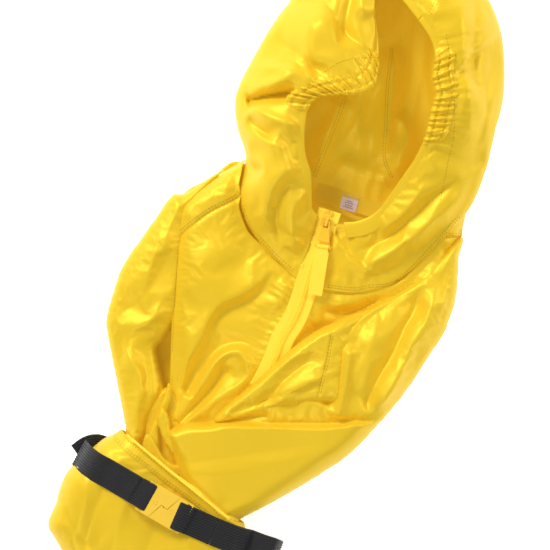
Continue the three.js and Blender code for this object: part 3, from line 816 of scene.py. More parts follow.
def left_sleeve_folds(xy):
    z = fold(xy, [(-110, 70), (-124, 30), (-135, -10), (-142, -50)], 4, 14, 18, (0.3, 0.3))
    z -= fold(xy, [(-108, 30), (-126, -6), (-150, -32), (-172, -44)], 5, 8, 12, (0.3, 0.2))
    z += fold(xy, [(-112, -30), (-132, -48), (-158, -58)], 4, 8, 8, (0.3, 0.3))
    z += fold(xy, [(-168, -66), (-150, -90), (-142, -120), (-144, -160), (-148, -190)], 7, 8, 12, (0.3, 0.02))
    z -= fold(xy, [(-140, -62), (-134, -92), (-134, -130), (-142, -170)], 6, 6, 8, (0.3, 0.02))
    z += fold(
        xy, [(-116, -64), (-126, -78), (-124, -100), (-121, -122), (-132, -150), (-142, -178)], 4, 5, 5,
        (0.1, 0.02),
    )
    return z + crumple(xy, 75, 70, 20, 1.6, 5.1)


left_sleeve = pad(
    "left_sleeve", LEFT_SLEEVE, lambda xy: 33 + 14 * ramp(-60, -190, xy[:, 1]), 1.0, 30, left_sleeve_folds
)
thickness(left_sleeve, 0.5, 1)
collection(left_sleeve, nylon, "jacket", ["sleeve_left"])

# %% The right side and its sleeve
RIGHT_SIDE = [
    (199, 40), (194, 20), (193, 0), (190, -27), (184, -46), (178, -61), (162, -86), (147, -109), (136, -125),
    (118, -147),
    (110, -156), (79, -188), (44, -212), (0, -238), (-35, -256), (-56, -266), (-84, -246), (-104, -222),
    (-107, -203), (-111, -184),
    (-114.5, -165), (-104, -159), (-92, -155), (-64, -153), (-40, -141), (-16, -130), (20, -110), (48, -84),
    (60, -60), (76, -50), (100, -34), (131, -18), (160, 4), (184, 30),
]


UPPER_EDGE = [(-114, -165), (-52, -144), (20, -110), (60, -60), (100, -34), (131, -18), (160, 4), (184, 30)]


def right_side_folds(xy):
    x, y = xy[:, 0], xy[:, 1]
    # the forearm lies over the hem of the body, so it starts as a step
    top_edge = [
        (146, -118), (110, -151), (79, -155), (54, -158), (0, -157.5), (-50, -155.5), (-92, -156),
        (-114, -165),
    ]
    z = shelf(xy, top_edge, 6, 45, (0.12, 0.02), 1.5)
    z += shelf(xy, top_edge[::-1], -6, 11, (0.02, 0.15), 1.5)
    z += fold(xy, [(175, -3), (160, -42), (144, -74), (124, -112), (105, -144)], 8, 9, 16, (0.2, 0.12))
    z -= fold(xy, [(160, -6), (142, -44), (126, -76), (104, -116), (92, -146)], 9, 7, 9, (0.2, 0.12))
    z += fold(xy, [(79, -70), (76, -96), (73, -118), (66, -152)], 7, 6, 10, (0.15, 0.1))
    z -= fold(xy, [(66, -66), (63, -92), (60, -118), (52, -140)], 7, 5, 6, (0.15, 0.1))
    z += fold(xy, [(110, -40), (104, -66), (98, -100), (90, -128)], 4, 10, 14, (0.3, 0.3))
    z -= fold(xy, [(150, -16), (126, -26), (98, -48), (82, -66)], 5, 7, 8, (0.3, 0.3))
    z += fold(xy, [(-6, -136), (-34, -141), (-70, -150), (-108, -163)], 3, 4, 5, (0.1, 0.02))
    z -= fold(xy, [(-2, -146), (-40, -150), (-76, -155), (-108, -164)], 5, 4, 4, (0.1, 0.02))
    # the forearm's own long folds, towards the pouch
    z += fold(xy, [(88, -172), (44, -186), (0, -196), (-50, -206), (-96, -206)], 2.2, 14, 16, (0.3, 0.02))
    z -= fold(xy, [(60, -176), (10, -180), (-40, -188), (-100, -196)], 1.5, 9, 10, (0.3, 0.02))
    z -= fold(xy, [(70, -196), (20, -218), (-20, -232), (-62, -240)], 1.5, 8, 9, (0.3, 0.1))
    z += fold(xy, [(40, -206), (0, -226), (-30, -240), (-56, -250)], 1.0, 5, 6, (0.3, 0.1))
    z += fold(xy, [(150, -98), (132, -120), (108, -146)], 5, 8, 10, (0.3, 0.3))
    z -= fold(xy, [(168, -70), (148, -96), (128, -122)], 4, 8, 9, (0.3, 0.3))
    z = 1.2 * z
    return (
        z + crumple(xy, 60, 70, 22, 1.6, 9.3) * ramp(-150, -130, y)
        + crumple(xy, 8, 90, 24, 0.5, 3.3) * ramp(-140, -165, y)
    )


right_side = pad(
    "right_side",
    RIGHT_SIDE,
    lambda xy: 52 - 10 * ramp(90, 190, xy[:, 0]) - 5 * ramp(-60, 10, xy[:, 1]) - 4 * ramp(
        -60, -110, xy[:, 0],
    ),
    1.0,
    lambda xy: 24 - 13 * np.exp(-((near(xy, spline(UPPER_EDGE, 4))[0] / 30) ** 2)),
    right_side_folds,
    spacing=3.0,
    hold=lambda xy: ramp(-146, -160, xy[:, 1]),
)
thickness(right_side, 0.5, 1)
collection(right_side, nylon, "jacket", ["sleeve_right"])

# %% The fold that crosses the zip
CROSS_FOLD = [
    (104, -37), (86, -41), (72, -45), (61, -51), (44, -59), (18, -78), (0, -94), (-16, -109), (-40, -129),
    (-56, -143), (-64, -153),
    (-56, -154), (-34, -148), (-10, -141), (12, -137), (37, -133), (58, -132), (71, -134), (75, -112),
    (79, -84), (86, -58),
]


def cross_fold_folds(xy):
    z = fold(
        xy, [(84, -38), (61, -57), (44, -66), (18, -85), (-2, -101), (-20, -116), (-56, -146)], 4, 5, 9,
        (0.1, 0.02),
    )
    z -= fold(xy, [(56, -78), (30, -94), (8, -112), (-15, -134), (-50, -148)], 7, 5, 8, (0.2, 0.05))
    z += fold(xy, [(56, -104), (36, -112), (14, -124), (-6, -138)], 4, 7, 7, (0.2, 0.2))
    z -= fold(xy, [(54, -112), (30, -121), (4, -127), (-24, -138)], 3, 5, 4, (0.2, 0.2))
    z -= 1.0 * np.exp(
        -((near(xy, spline([(59, -50), (59, -61), (55, -88), (48, -112), (46, -126)], 4))[0] / 1.4) ** 2)
    )
    return z + crumple(xy, 35, 60, 18, 1.2, 7.7)


cross_fold = pad(
    "cross_fold", CROSS_FOLD, lambda xy: 58 - 6 * ramp(40, -110, xy[:, 0]) - 12 * ramp(60, 104, xy[:, 0]),
    34.0, 15, cross_fold_folds, spacing=2.6
)
thickness(cross_fold, 0.5, 1)
collection(cross_fold, nylon, "jacket", ["right_side_fold"])

# %% The back, on the floor
BACK = [
    (-36, 120), (-68, 103), (-100, 82), (-104, 26), (-108, -26), (-122, -56), (-134, -84), (-132, -131),
    (-134, -170), (-90, -196),
    (-30, -180), (40, -150), (100, -110), (150, -50), (186, 0), (193, 40), (200, 62), (160, 50), (100, 30),
    (20, 70),
]
back_xy, back_faces, _ = flat_sheet(spline(BACK, 4, True), 6)
back_z = 0.6 + 1.2 * (0.5 + crumple(back_xy, 40, 60, 18, 1, 2.2))
back = cloth_object("back", np.column_stack([back_xy, back_z]), back_faces)
thickness(back, 0.5, 1)
collection(back, nylon, "jacket", ["back_panel"])

# %% [markdown]
# ## The hood
#
# The hood is a bag with a mouth, so it is built as rings. Each station below pairs a point of the
# mouth's rim with the point of the outline beside it. Rings run from the rim over the swell to the
# outline, then underneath to the middle of the back, which shows through the mouth.

# %% The hood's stations: rim x, y, z, then outline x, y, z
HOOD_STATIONS = [
    (52, 56, 39.5, 27, -8, 37.5), (44, 63, 43, 8, 9, 35), (38, 72, 48, -6, 21, 34.5),
    (37, 88, 55, -20, 37, 34),
    (36, 106, 62, -33, 58, 33), (31, 122, 68, -39, 86, 32), (29, 140, 73, -36, 118, 28),
    (30, 158, 77, -42, 157, 28),
    (34, 174, 80, -42, 186, 29), (44, 184, 83, -34, 206, 30), (62, 186, 86, -17, 237, 30),
    (82, 187, 88, 1, 268, 30),
    (97, 192, 84, 22, 298, 30), (105, 204, 78, 43, 322, 30), (107, 238, 72, 73, 340, 30),
    (104, 264, 70, 97, 347, 30),
    (104, 288, 70, 112, 349, 30), (109, 303, 72, 126, 348, 30), (121, 298, 81, 150, 345, 30),
    (134, 283, 84, 177, 335, 30),
    (150, 262, 87, 203, 318, 30), (162, 243, 88, 224, 292, 30), (166, 224, 88, 236, 262, 30),
    (163, 205, 86, 240, 232, 30),
    (167, 188, 84, 241, 200, 29), (163, 172, 80, 238, 176, 28), (156, 142, 73, 231, 150, 28),
    (146, 120, 66, 224, 122, 28),
    (136, 105, 61, 216, 94, 28), (123, 86, 54, 201, 63, 30), (108, 66, 48, 165, 24, 34),
    (90, 56, 44, 125, -8, 35),
    (72, 54, 41, 86, -19, 36), (60, 54, 39.5, 50, -15, 37.5),
]
HOOD_POLE = np.array([100, 175])
HOOD_ROWS, ROLL_ROWS, BACK_ROWS = 42, 9, 34
stations = spline(HOOD_STATIONS, 4.2, True)
hood_rim, hood_edge = stations[:, :3], stations[:, 3:]
to_pole = HOOD_POLE - hood_edge[:, :2]
hood_edge[:, :2] += (
    to_pole / np.linalg.norm(to_pole, axis=1, keepdims=True) * 2.2 * ramp(36, 32, hood_edge[:, 2])[:, None]
)
print("hood:", len(stations), "stations")


def hood_folds(xy):
    z = fold(xy, [(-29, 184), (-14, 192), (-3, 194), (14, 203), (26, 214)], 6, 8, 4, (0.15, 0.3))
    z -= fold(xy, [(-30, 182), (-12, 186), (6, 188), (26, 190)], 20, 5, 7, (0.08, 0.25))
    z += fold(xy, [(-26, 176), (-14, 168), (0, 161), (16, 156), (28, 154)], 6, 5, 9, (0.12, 0.2))
    z -= fold(xy, [(-26, 166), (-18, 156), (-8, 148), (4, 143)], 8, 4, 5, (0.15, 0.3))
    z += fold(xy, [(-30, 150), (-16, 140), (0, 132), (20, 132)], 4, 6, 8, (0.2, 0.3))
    z += fold(xy, [(10, 288), (36, 262), (58, 234), (70, 216)], 6, 12, 12, (0.25, 0.2))
    z -= fold(xy, [(-6, 246), (16, 236), (40, 216), (56, 200)], 7, 8, 9, (0.25, 0.2))
    z -= fold(xy, [(40, 306), (60, 272), (76, 248), (92, 232)], 6, 8, 9, (0.25, 0.2))
    z += fold(xy, [(-24, 216), (0, 214), (24, 206), (44, 196)], 5, 7, 8, (0.25, 0.2))
    z += fold(xy, [(70, 330), (84, 296), (96, 262)], 5, 8, 8, (0.3, 0.2))
    z -= fold(xy, [(92, 340), (98, 312), (102, 290)], 5, 6, 6, (0.3, 0.2))
    # the facet beside the brow, which turns down towards the opening
    z += fold(xy, [(46, 212), (50, 250), (58, 290), (70, 330)], 13, 22, 24, (0.12, 0.3), 1.5)
    z -= fold(xy, [(66, 226), (72, 252), (78, 284), (86, 316)], 7, 7, 9, (0.15, 0.2), 2)
    z += fold(xy, [(60, 232), (72, 214), (90, 206)], 5, 5, 6, (0.2, 0.2))
    # the long crease on the right cheek
    z += shelf(xy, [(238, 255), (199, 222), (184, 200)], -8, 26, (0.1, 0.2), 2)
    z -= shelf(xy, [(52, 60), (70, 34), (84, 16), (104, 4)], 4, 14, (0.2, 0.2), 2)
    # the left cheek, down to the neck seam
    z += fold(xy, [(24, 120), (2, 96), (-10, 68), (-8, 40)], 5, 8, 11, (0.2, 0.3))
    z -= fold(xy, [(20, 104), (6, 80), (2, 52), (8, 26)], 7, 7, 7, (0.2, 0.3))
    z += fold(xy, [(30, 92), (20, 66), (18, 40), (24, 14)], 4, 6, 7, (0.2, 0.3))
    z -= fold(xy, [(-34, 120), (-20, 102), (-16, 78), (-22, 56)], 4, 7, 9, (0.2, 0.3))
    # the right cheek and the chin
    z += fold(xy, [(206, 96), (176, 66), (140, 36), (104, 14), (76, 6)], 6, 10, 9, (0.2, 0.2))
    z -= fold(xy, [(196, 104), (166, 82), (138, 56), (108, 34), (80, 24)], 6, 7, 8, (0.2, 0.2))
    z += fold(xy, [(160, 100), (144, 78), (126, 58), (104, 44)], 4, 6, 6, (0.2, 0.2))
    z -= fold(xy, [(182, 56), (156, 30), (126, 8), (100, -2)], 5, 6, 7, (0.2, 0.2))
    # the right side, down from the crown
    z -= fold(xy, [(210, 300), (206, 262), (206, 222), (210, 180)], 6, 9, 9, (0.2, 0.2))
    z += fold(xy, [(194, 290), (192, 250), (196, 210), (202, 160), (206, 120)], 5, 8, 9, (0.2, 0.2))
    z -= fold(xy, [(232, 240), (222, 200), (214, 160), (208, 124)], 5, 7, 8, (0.2, 0.2))
    z -= fold(xy, [(170, 318), (160, 296), (152, 280)], 6, 6, 7, (0.2, 0.2))
    z += fold(xy, [(140, 330), (136, 310), (134, 296)], 5, 6, 7, (0.2, 0.2))
    return z


def inner_hood_folds(xy):
    z = fold(xy, [(126, 247), (124, 200), (119, 158), (117, 116)], 12, 9, 12, (0.2, 0.25))
    z += fold(xy, [(74, 190), (60, 160), (50, 132), (42, 106)], 10, 7, 12, (0.15, 0.2))
    z += fold(xy, [(104, 226), (92, 196), (88, 166), (92, 130)], 6, 9, 9, (0.2, 0.2))
    z += fold(xy, [(128, 176), (140, 150), (134, 126), (126, 104)], 7, 7, 9, (0.2, 0.2))
    z += fold(xy, [(60, 124), (84, 112), (108, 104), (130, 100)], 5, 6, 6, (0.2, 0.2))
    z += fold(xy, [(96, 262), (100, 226), (102, 190)], 9, 6, 14, (0.2, 0.2))
    return 1.9 * z + 2.5 + crumple(xy, 70, 60, 18, 5, 4.4)

# %% The hood's mesh
# folds above the crown's level are pressed into the room over it
CROWN_LEVEL, CROWN_ROOM = 86.0, 9.0
RUCHE_LEFT = [(107, 226), (88, 206), (64, 200), (44, 192), (32, 182)]
RUCHE_RIGHT = [(170, 246), (174, 215), (177, 186), (172, 160), (160, 130)]
rows, cover = [], []
swing = hood_edge[:, :2] - hood_rim[:, :2]
free = ramp(0.5, 3.5, 36.5 - hood_edge[:, 2])
for share in np.linspace(0, 1, HOOD_ROWS):
    plan = hood_rim[:, :2] + swing * share
    arch = (1 - share**2.3) ** 0.62
    z = (
        hood_edge[:, 2] + (hood_rim[:, 2] - hood_edge[:, 2]) * arch
        + 9 * free * math.sin(math.pi * min(1, share * 1.15)) * (share < 0.87)
    )
    detail = (
        1.3 * hood_folds(plan) + pucker(plan, RUCHE_LEFT, 8, 2.6, 26) + pucker(plan, RUCHE_RIGHT, 8, 2.6, 26)
    )
    detail += pucker(plan, NECK_LEFT, 9, 1.2, 14) + pucker(plan, NECK_RIGHT, 9, 1.2, 14)
    detail += crumple(plan, 55, 60, 20, 2.0, 6.6)
    fade = (1 - share**5) * ramp(0, 0.12, share)
    z = z + detail * fade
    over = np.clip(z - CROWN_LEVEL, 0, None)
    rows.append(np.column_stack([plan, z - over + CROWN_ROOM * np.tanh(over / CROWN_ROOM)]))
    cover.append(np.full(len(plan), share))
pull_in = HOOD_POLE - hood_edge[:, :2]
inward = pull_in / np.linalg.norm(pull_in, axis=1, keepdims=True)
for turn in np.linspace(0, math.pi / 2, ROLL_ROWS + 1)[1:]:
    plan = hood_edge[:, :2] + inward * 20 * (1 - math.cos(turn))
    rows.append(np.column_stack([plan, 1.0 + (hood_edge[:, 2] - 1.0) * (1 - math.sin(turn))]))
    cover.append(np.full(len(plan), 1 + turn))
rolled = hood_edge[:, :2] + inward * 20
for share in np.linspace(0, 1, BACK_ROWS + 1)[1:-1]:
    plan = rolled + (HOOD_POLE - rolled) * share
    lift = ramp(0, 0.25, share) * ramp(60, 92, plan[:, 1])
    rows.append(np.column_stack([plan, 1.0 + np.clip(inner_hood_folds(plan), 0, None) * lift]))
    cover.append(np.full(len(plan), 4.0))
around = len(stations)
hood_points = np.vstack([*rows, [[*HOOD_POLE, 8.0]]])
cover = np.concatenate([*cover, [4.0]])
hood_faces = [
    (r * around + i, r * around + (i + 1) % around, (r + 1) * around + (i + 1) % around, (r + 1) * around + i)
    for r in range(len(rows) - 1)
    for i in range(around)
]
last = (len(rows) - 1) * around
hood_faces += [(last + i, last + (i + 1) % around, len(hood_points) - 1) for i in range(around)]
hood = cloth_object("hood_whole", hood_points, hood_faces)
# the cloth under the zip lies flat and clear of the slider, which runs over it
SLIDER_ROOM = 8.5
SLIDER_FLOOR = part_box("zip_slider")[0][2] / MM - 1.2
ZIP_WAY = spline(ZIP, 1.0)
near_zip = np.array([np.argmin(np.hypot(*(ZIP_WAY - p[:2]).T)) for p in hood_points])
from_zip = hood_points[:, :2] - ZIP_WAY[near_zip]
gap = np.linalg.norm(from_zip, axis=1)
close = (gap < SLIDER_ROOM) & (near_zip > 0) & (near_zip < 90) & (hood_points[:, 2] < 75)
aside = SLIDER_ROOM / np.clip(gap[close], 0.5, None)
hood_points[close, :2] = ZIP_WAY[near_zip[close]] + from_zip[close] * aside[:, None]
hood_points[close, 2] = np.minimum(hood_points[close, 2], SLIDER_FLOOR)
for i, point in enumerate(hood_points):
    hood.data.vertices[i].co = place([point])[0]
edge_held = np.tile(np.where(hood_edge[:, 2] > 33, 1.0, 0.0), len(rows))
edge_held = np.concatenate([edge_held, [1.0]])
held = np.maximum(1 - ramp(0.02, 0.16, cover), ramp(2.2, 2.6, cover))
held = np.maximum(held, edge_held * ramp(0.82, 0.98, cover))
held[close] = 1.0
settle(hood, np.ceil(held * 4) / 4, grow=0.025, cap=5.0, frames=16)
print("hood:", len(hood_points), "points")

# %% [markdown]
# The settled hood is then cut into its real pieces: a left and a right side, a strip over the
# crown and down the back, and the yoke behind the neck. Each keeps the shared surface, so the
# seams between them stay closed.

# %% The hood's pieces
HOOD_NODES = {
    "hood_left": "hood_left_panel", "hood_right": "hood_right_panel", "hood_centre": "hood_centre_panel",
    "neck_yoke": "back_neck_yoke",
}
BACK_STRIP = np.array(
    [(40, 60), (62, 150), (74, 190), (80, 260), (84, 345), (150, 345), (130, 260), (118, 150), (132, 60)],
    float,
)


def hood_piece_of(centre, row):
    x, y, z = centre
    if row >= HOOD_ROWS - 1 and y < 88 and z < 14:
        return "neck_yoke"
    in_strip = inside(np.array([[x, y]]), BACK_STRIP)[0]
    if row >= HOOD_ROWS - 1 and z < 26 and in_strip:
        return "hood_centre"
    if y > 300 and 84 < x < 150:
        return "hood_centre"
    split = 96 + (y - 165) * 0.12
    return "hood_left" if x < split else "hood_right"


hood_coordinates = coordinates(hood.data) / MM - [*(DATUM / MM), 0]
sorted_faces = {name: [] for name in HOOD_NODES}
for number, face in enumerate(hood_faces):
    row = min(number // around, len(rows) - 1)
    sorted_faces[hood_piece_of(hood_points[list(face)].mean(0), row)].append(face)
hood_pieces = {}
whole_normals = np.array([tuple(v.normal) for v in hood.data.vertices])
for name, faces in sorted_faces.items():
    used = sorted({i for face in faces for i in face})
    number = {old: new for new, old in enumerate(used)}
    piece = cloth_object(name, hood_coordinates[used], [[number[i] for i in face] for face in faces])
    piece.data.normals_split_custom_set_from_vertices([tuple(whole_normals[i]) for i in used])
    hood_pieces[name] = collection(piece, nylon, "jacket", [HOOD_NODES[name]])
    # The faces deep inside the hood take the more strongly glowing copy of the nylon: painted light in the
    # shaded hollow.
    piece.data.materials.append(hood_inside_painted_glow)
    deep = [min(cover[i] for i in face) > 3.9 for face in faces]
    piece.data.polygons.foreach_set("material_index", np.array(deep, dtype=np.int32))
bpy.data.objects.remove(hood)

# %% [markdown]
# ## The casing round the face
#
# The hem of the mouth is folded over to make a casing. At both cheeks it holds elastic, which
# draws it into a thick rope of gathers. The gathers come from a section that swells and pinches
# along the path, in short waves that never quite repeat.

# %% The hem
def ruched(along, start, stop, soft=14):
    return ramp(start, start + soft, along) * ramp(0, soft, stop - along)


rim_path = np.vstack([hood_rim, hood_rim[:1]])
rim_length = np.concatenate([[0], np.cumsum(np.linalg.norm(np.diff(rim_path, axis=0), axis=1))])
out_way = swing / np.linalg.norm(swing, axis=1, keepdims=True)


def rim_distance(point):
    """How far along the rim its nearest station to a plan point is."""
    return rim_length[np.argmin(np.hypot(*(hood_rim[:, :2] - point).T))]


def hem_piece(name, first, last, elastic, nodes):
    a, b = rim_distance(first), rim_distance(last)
    at = np.arange(a, b, 1.1)
    position = np.stack([np.interp(at, rim_length, np.append(c, c[0])) for c in hood_rim.T], 1)
    way = np.stack([np.interp(at, rim_length, np.append(c, c[0])) for c in out_way.T], 1)
    way /= np.linalg.norm(way, axis=1, keepdims=True)
    gathered = (
        ruched(at, rim_distance(elastic[0]), rim_distance(elastic[1])) if elastic else np.zeros(len(at))
    )
    width = 17 + (10 if name == "hem_left" else 7) * gathered
    centre = position + np.column_stack([way * (width / 2 - 1.5)[:, None], 0.6 + 1.2 * gathered])
    centre = smooth_path(centre, 4)
    side = np.column_stack([way, np.zeros(len(at))])
    normal = np.cross(np.gradient(centre, axis=0), side)
    normal /= np.linalg.norm(normal, axis=1, keepdims=True)
    normal *= np.sign(normal[:, 2:3])
    angle = np.linspace(0, 2 * math.pi, 36, endpoint=False)
    c, s = np.cos(angle), np.sin(angle)
    across, thick = np.sign(c) * np.abs(c) ** 0.7, np.sign(s) * np.abs(s) ** 0.8
    points = []
    for i, along in enumerate(at):
        beat = along / 7.6 * 2 * math.pi
        lean = 0.9 * across * math.sin(along / 17)
        wave = np.sin(beat + lean + 1.1 * math.sin(beat * 0.37)) + 0.5 * np.sin(
            beat * 1.73 + 2.2 * across + 0.6
        )
        valley = 1 - 0.55 * np.exp(-((np.abs(across) - 0.45) / 0.10) ** 2) * gathered[i]
        height = (1.7 + 3.2 * gathered[i]) * valley + 2.2 * gathered[i] * wave * (1 - 0.3 * np.abs(across))
        edge_wave = 1 + gathered[i] * 0.05 * wave
        ring = (
            centre[i] + np.outer(across * width[i] / 2 * edge_wave, side[i])
            + np.outer(thick * height, normal[i])
        )
        points.append(ring)
    faces = [
        (i * 36 + j, i * 36 + (j + 1) % 36, (i + 1) * 36 + (j + 1) % 36, (i + 1) * 36 + j)
        for i in range(len(at) - 1)
        for j in range(36)
    ]
    faces.append(tuple(range(36))[::-1])
    faces.append(tuple((len(at) - 1) * 36 + j for j in range(36)))
    obj = cloth_object(name, np.vstack(points), faces)
    return collection(obj, nylon, "jacket", nodes)


hem_left = hem_piece(
    "hem_left", (38, 72), (104, 288), [(30, 165), (106, 226)], ["hood_hem_left", "hood_elastic_left"],
)
hem_brow = hem_piece("hem_brow", (104, 288), (150, 262), None, ["hood_hem_brow"])
hem_right = hem_piece(
    "hem_right", (150, 262), (72, 54), [(165, 232), (152, 132)], ["hood_hem_right", "hood_elastic_right"],
)

# %% [markdown]
# ## The pouch
#
# The pouch is a bag of the same nylon, packed firmly at its mouth and slack at its far end. Its
# mouth is finished with a doubled band. The bundle that fills it shows only at the mouth.

# %% The pouch's front and back
POUCH = [
    (-162, -163), (-172, -169), (-184, -175), (-212, -200), (-222, -212), (-229, -230), (-231, -240),
    (-239, -258), (-239, -268),
    (-233, -278), (-222, -296), (-202, -320), (-172, -345), (-141, -366), (-115, -371), (-86, -360),
    (-54, -332), (-36, -300),
    (-31, -276), (-32, -262),
]
MOUTH = [
    (-162, -163), (-154, -170), (-142, -180), (-126, -192), (-108, -207), (-94, -217), (-83, -225),
    (-68, -237), (-57, -249), (-32, -262),
]


def pouch_folds(xy):
    z = fold(xy, [(-200, -192), (-196, -225), (-206, -262), (-216, -290)], 6, 10, 14, (0.2, 0.2))
    z -= fold(xy, [(-178, -190), (-180, -226), (-192, -262), (-200, -296)], 7, 8, 10, (0.2, 0.2))
    z += fold(xy, [(-150, -200), (-158, -240), (-168, -280), (-176, -318)], 5, 12, 12, (0.2, 0.2))
    z -= fold(xy, [(-116, -236), (-126, -270), (-140, -310), (-148, -346)], 5, 9, 10, (0.2, 0.2))
    z += fold(xy, [(-88, -262), (-92, -296), (-104, -330)], 5, 9, 10, (0.2, 0.2))
    z -= fold(xy, [(-60, -276), (-66, -304), (-80, -330)], 5, 7, 8, (0.2, 0.2))
    z -= fold(xy, [(-224, -236), (-212, -262), (-190, -286), (-160, -300)], 6, 8, 8, (0.2, 0.3))
    z -= fold(xy, [(-170, -180), (-150, -206), (-120, -226), (-80, -248)], 2, 8, 8, (0.1, 0.1))
    return z + crumple(xy, 55, 70, 24, 1.8, 8.8) + pucker(xy, MOUTH, 13, 1.0, 16)


def pouch_side(name, upper, nodes):
    outline = joined(POUCH, MOUTH[::-1])[:-1]
    outline = evenly(np.vstack([outline, outline[:1]]), 3, True)
    xy, faces, _ = flat_sheet(outline, 3.0)
    gap, _, _ = near(xy, spline(POUCH, 4))
    crown = np.sqrt(np.clip(1 - (1 - np.clip(gap / 34, 0, 1)) ** 2.2, 0, 1))
    mouth, _, _ = near(xy, spline(MOUTH, 4))
    if upper:
        high = 55.5 - 6 * ramp(60, 150, mouth) - 3 * (1 - ramp(0, 30, mouth))
        z = 21 + (high - 21 + 0.5 * pouch_folds(xy) * ramp(0, 26, gap)) * crown
    else:
        z = 21 - (21 - 3.2) * np.sqrt(np.clip(1 - (1 - np.clip(gap / 20, 0, 1)) ** 2, 0, 1))
        faces = [face[::-1] for face in faces]
    obj = cloth_object(name, np.column_stack([xy, z]), faces)
    rim, _, _ = near(xy, np.vstack([outline, outline[:1]]))
    held = 1 - ramp(1, 14, rim) if upper else np.ones(len(xy))
    settle(obj, np.ceil(held * 4) / 4, grow=0.008, cap=2.5)
    thickness(obj, 0.6, 1)
    return collection(obj, nylon, "jacket", nodes)


pouch_front = pouch_side("pouch_front_cloth", True, ["pouch_front"])
pouch_back = pouch_side("pouch_back_cloth", False, ["pouch_back"])

# %% The mouth's band, with the open zip's half behind it
pouch_trees = tree_of(pouch_front)


def mouth_strip(
    name, offset, width, height, lift, material, nodes=(), profile=None, trim=(4, 4),
):
    path = spline(MOUTH, 2)
    ahead = np.gradient(path, axis=0)
    ahead /= np.linalg.norm(ahead, axis=1, keepdims=True)
    left = np.stack([-ahead[:, 1], ahead[:, 0]], 1)
    on_cloth = drop(path - left * 6, pouch_trees, 0)
    good = np.isfinite(on_cloth)
    on_cloth = np.interp(np.arange(len(path)), np.nonzero(good)[0], on_cloth[good])
    on_cloth = np.convolve(np.pad(on_cloth, 4, mode="edge"), np.ones(9) / 9, "valid")
    centre = np.column_stack([path + left * offset, on_cloth + lift])[trim[0]:-trim[1]]
    obj = ribbon(name, smooth_path(centre, 3), width, height, profile=profile or flat_profile)
    return collection(obj, material, "jacket", nodes)


def draped_strip(name, corners, offsets, trees, lift, material, thick=0.7, nodes=(), sag=0.0):
    """A flat strip sewn on to the cloth: its net takes its heights from the cloth below it."""
    path = spline(corners, 1.5)
    ahead = np.gradient(path, axis=0)
    ahead /= np.linalg.norm(ahead, axis=1, keepdims=True)
    left = np.stack([-ahead[:, 1], ahead[:, 0]], 1)
    rows = []
    for offset in offsets:
        plan = path + left * offset
        z = drop(plan, trees, lift)
        good = np.isfinite(z)
        z = (
            np.interp(np.arange(len(z)), np.nonzero(good)[0], z[good]) if good.any()
            else np.full(len(z), np.nan)
        )
        rows.append(np.column_stack([plan, np.convolve(np.pad(z, 2, mode="edge"), np.ones(5) / 5, "valid")]))
    rows = np.array(rows)
    for i in range(len(rows)):
        if not np.isfinite(rows[i]).all():
            rows[i, :, 2] = rows[i + 1 if i + 1 < len(rows) else i - 1, :, 2] - sag
    count = len(path)
    faces = [
        (r * count + i, r * count + i + 1, (r + 1) * count + i + 1, (r + 1) * count + i)
        for r in range(len(rows) - 1) for i in range(count - 1)
    ]
    if offsets[0] < offsets[-1]:
        faces = [f for f in faces]
    else:
        faces = [f[::-1] for f in faces]
    obj = cloth_object(name, rows.reshape(-1, 3), faces)
    layer = obj.modifiers.new("layer", "SOLIDIFY")
    layer.thickness, layer.offset = thick * MM, -1
    return collection(obj, material, "jacket", nodes)


band = draped_strip("mouth_band", MOUTH, (-12.4, -11.6, -9, -6, -3, -1.2), pouch_trees, 0.9, nylon, thick=1.0)
mouth_strip("mouth_zip_tape", 0.6, 3.0, 1.2, -1.2, tape_cloth, ["pouch_zip_tape_front"])

# %% [markdown]
# The bundle is a few rolls of cloth side by side. They run into the mouth, and each is a tube
# that widens inside the pouch, where nothing shows.

# %% The bundle
ROLLS = [
    (
        "cuff_left", "packed_sleeve_left",
        [(-152, -190, 30), (-166, -206, 29), (-182, -230, 28), (-196, -256, 27)], [14, 30, 46, 40],
    ),
    (
        "skirt", "packed_skirt", [(-120, -206, 30), (-134, -226, 29), (-148, -256, 28), (-164, -300, 27)],
        [20, 40, 60, 60],
    ),
    (
        "cuff_right", "packed_sleeve_right",
        [(-82, -250, 30), (-92, -264, 29), (-106, -286, 28), (-118, -320, 27)], [14, 40, 60, 50],
    ),
]
for name, node, path, widths in ROLLS:
    line = spline([(*p, w) for p, w in zip(path, widths)], 3)
    beat = np.linspace(0, 2 * math.pi, 48, endpoint=False)

    def gathers(angle, along, seed=len(name)):
        wave = 1 + 0.07 * np.sin(6 * angle + seed) + 0.05 * np.sin(11 * angle + 0.1 * along)
        return np.cos(angle) * wave, np.sin(angle) * wave

    roll = ribbon(name, line[:, :3], line[:, 3], 24, profile=gathers, round_count=48)
    collection(roll, nylon, "jacket", [node])

# %% [markdown]
# Three leaves of cloth show between the sleeve and the forearm, where the body is folded into the
# mouth. Each is a thin pad with crisp edges, laid one on another.

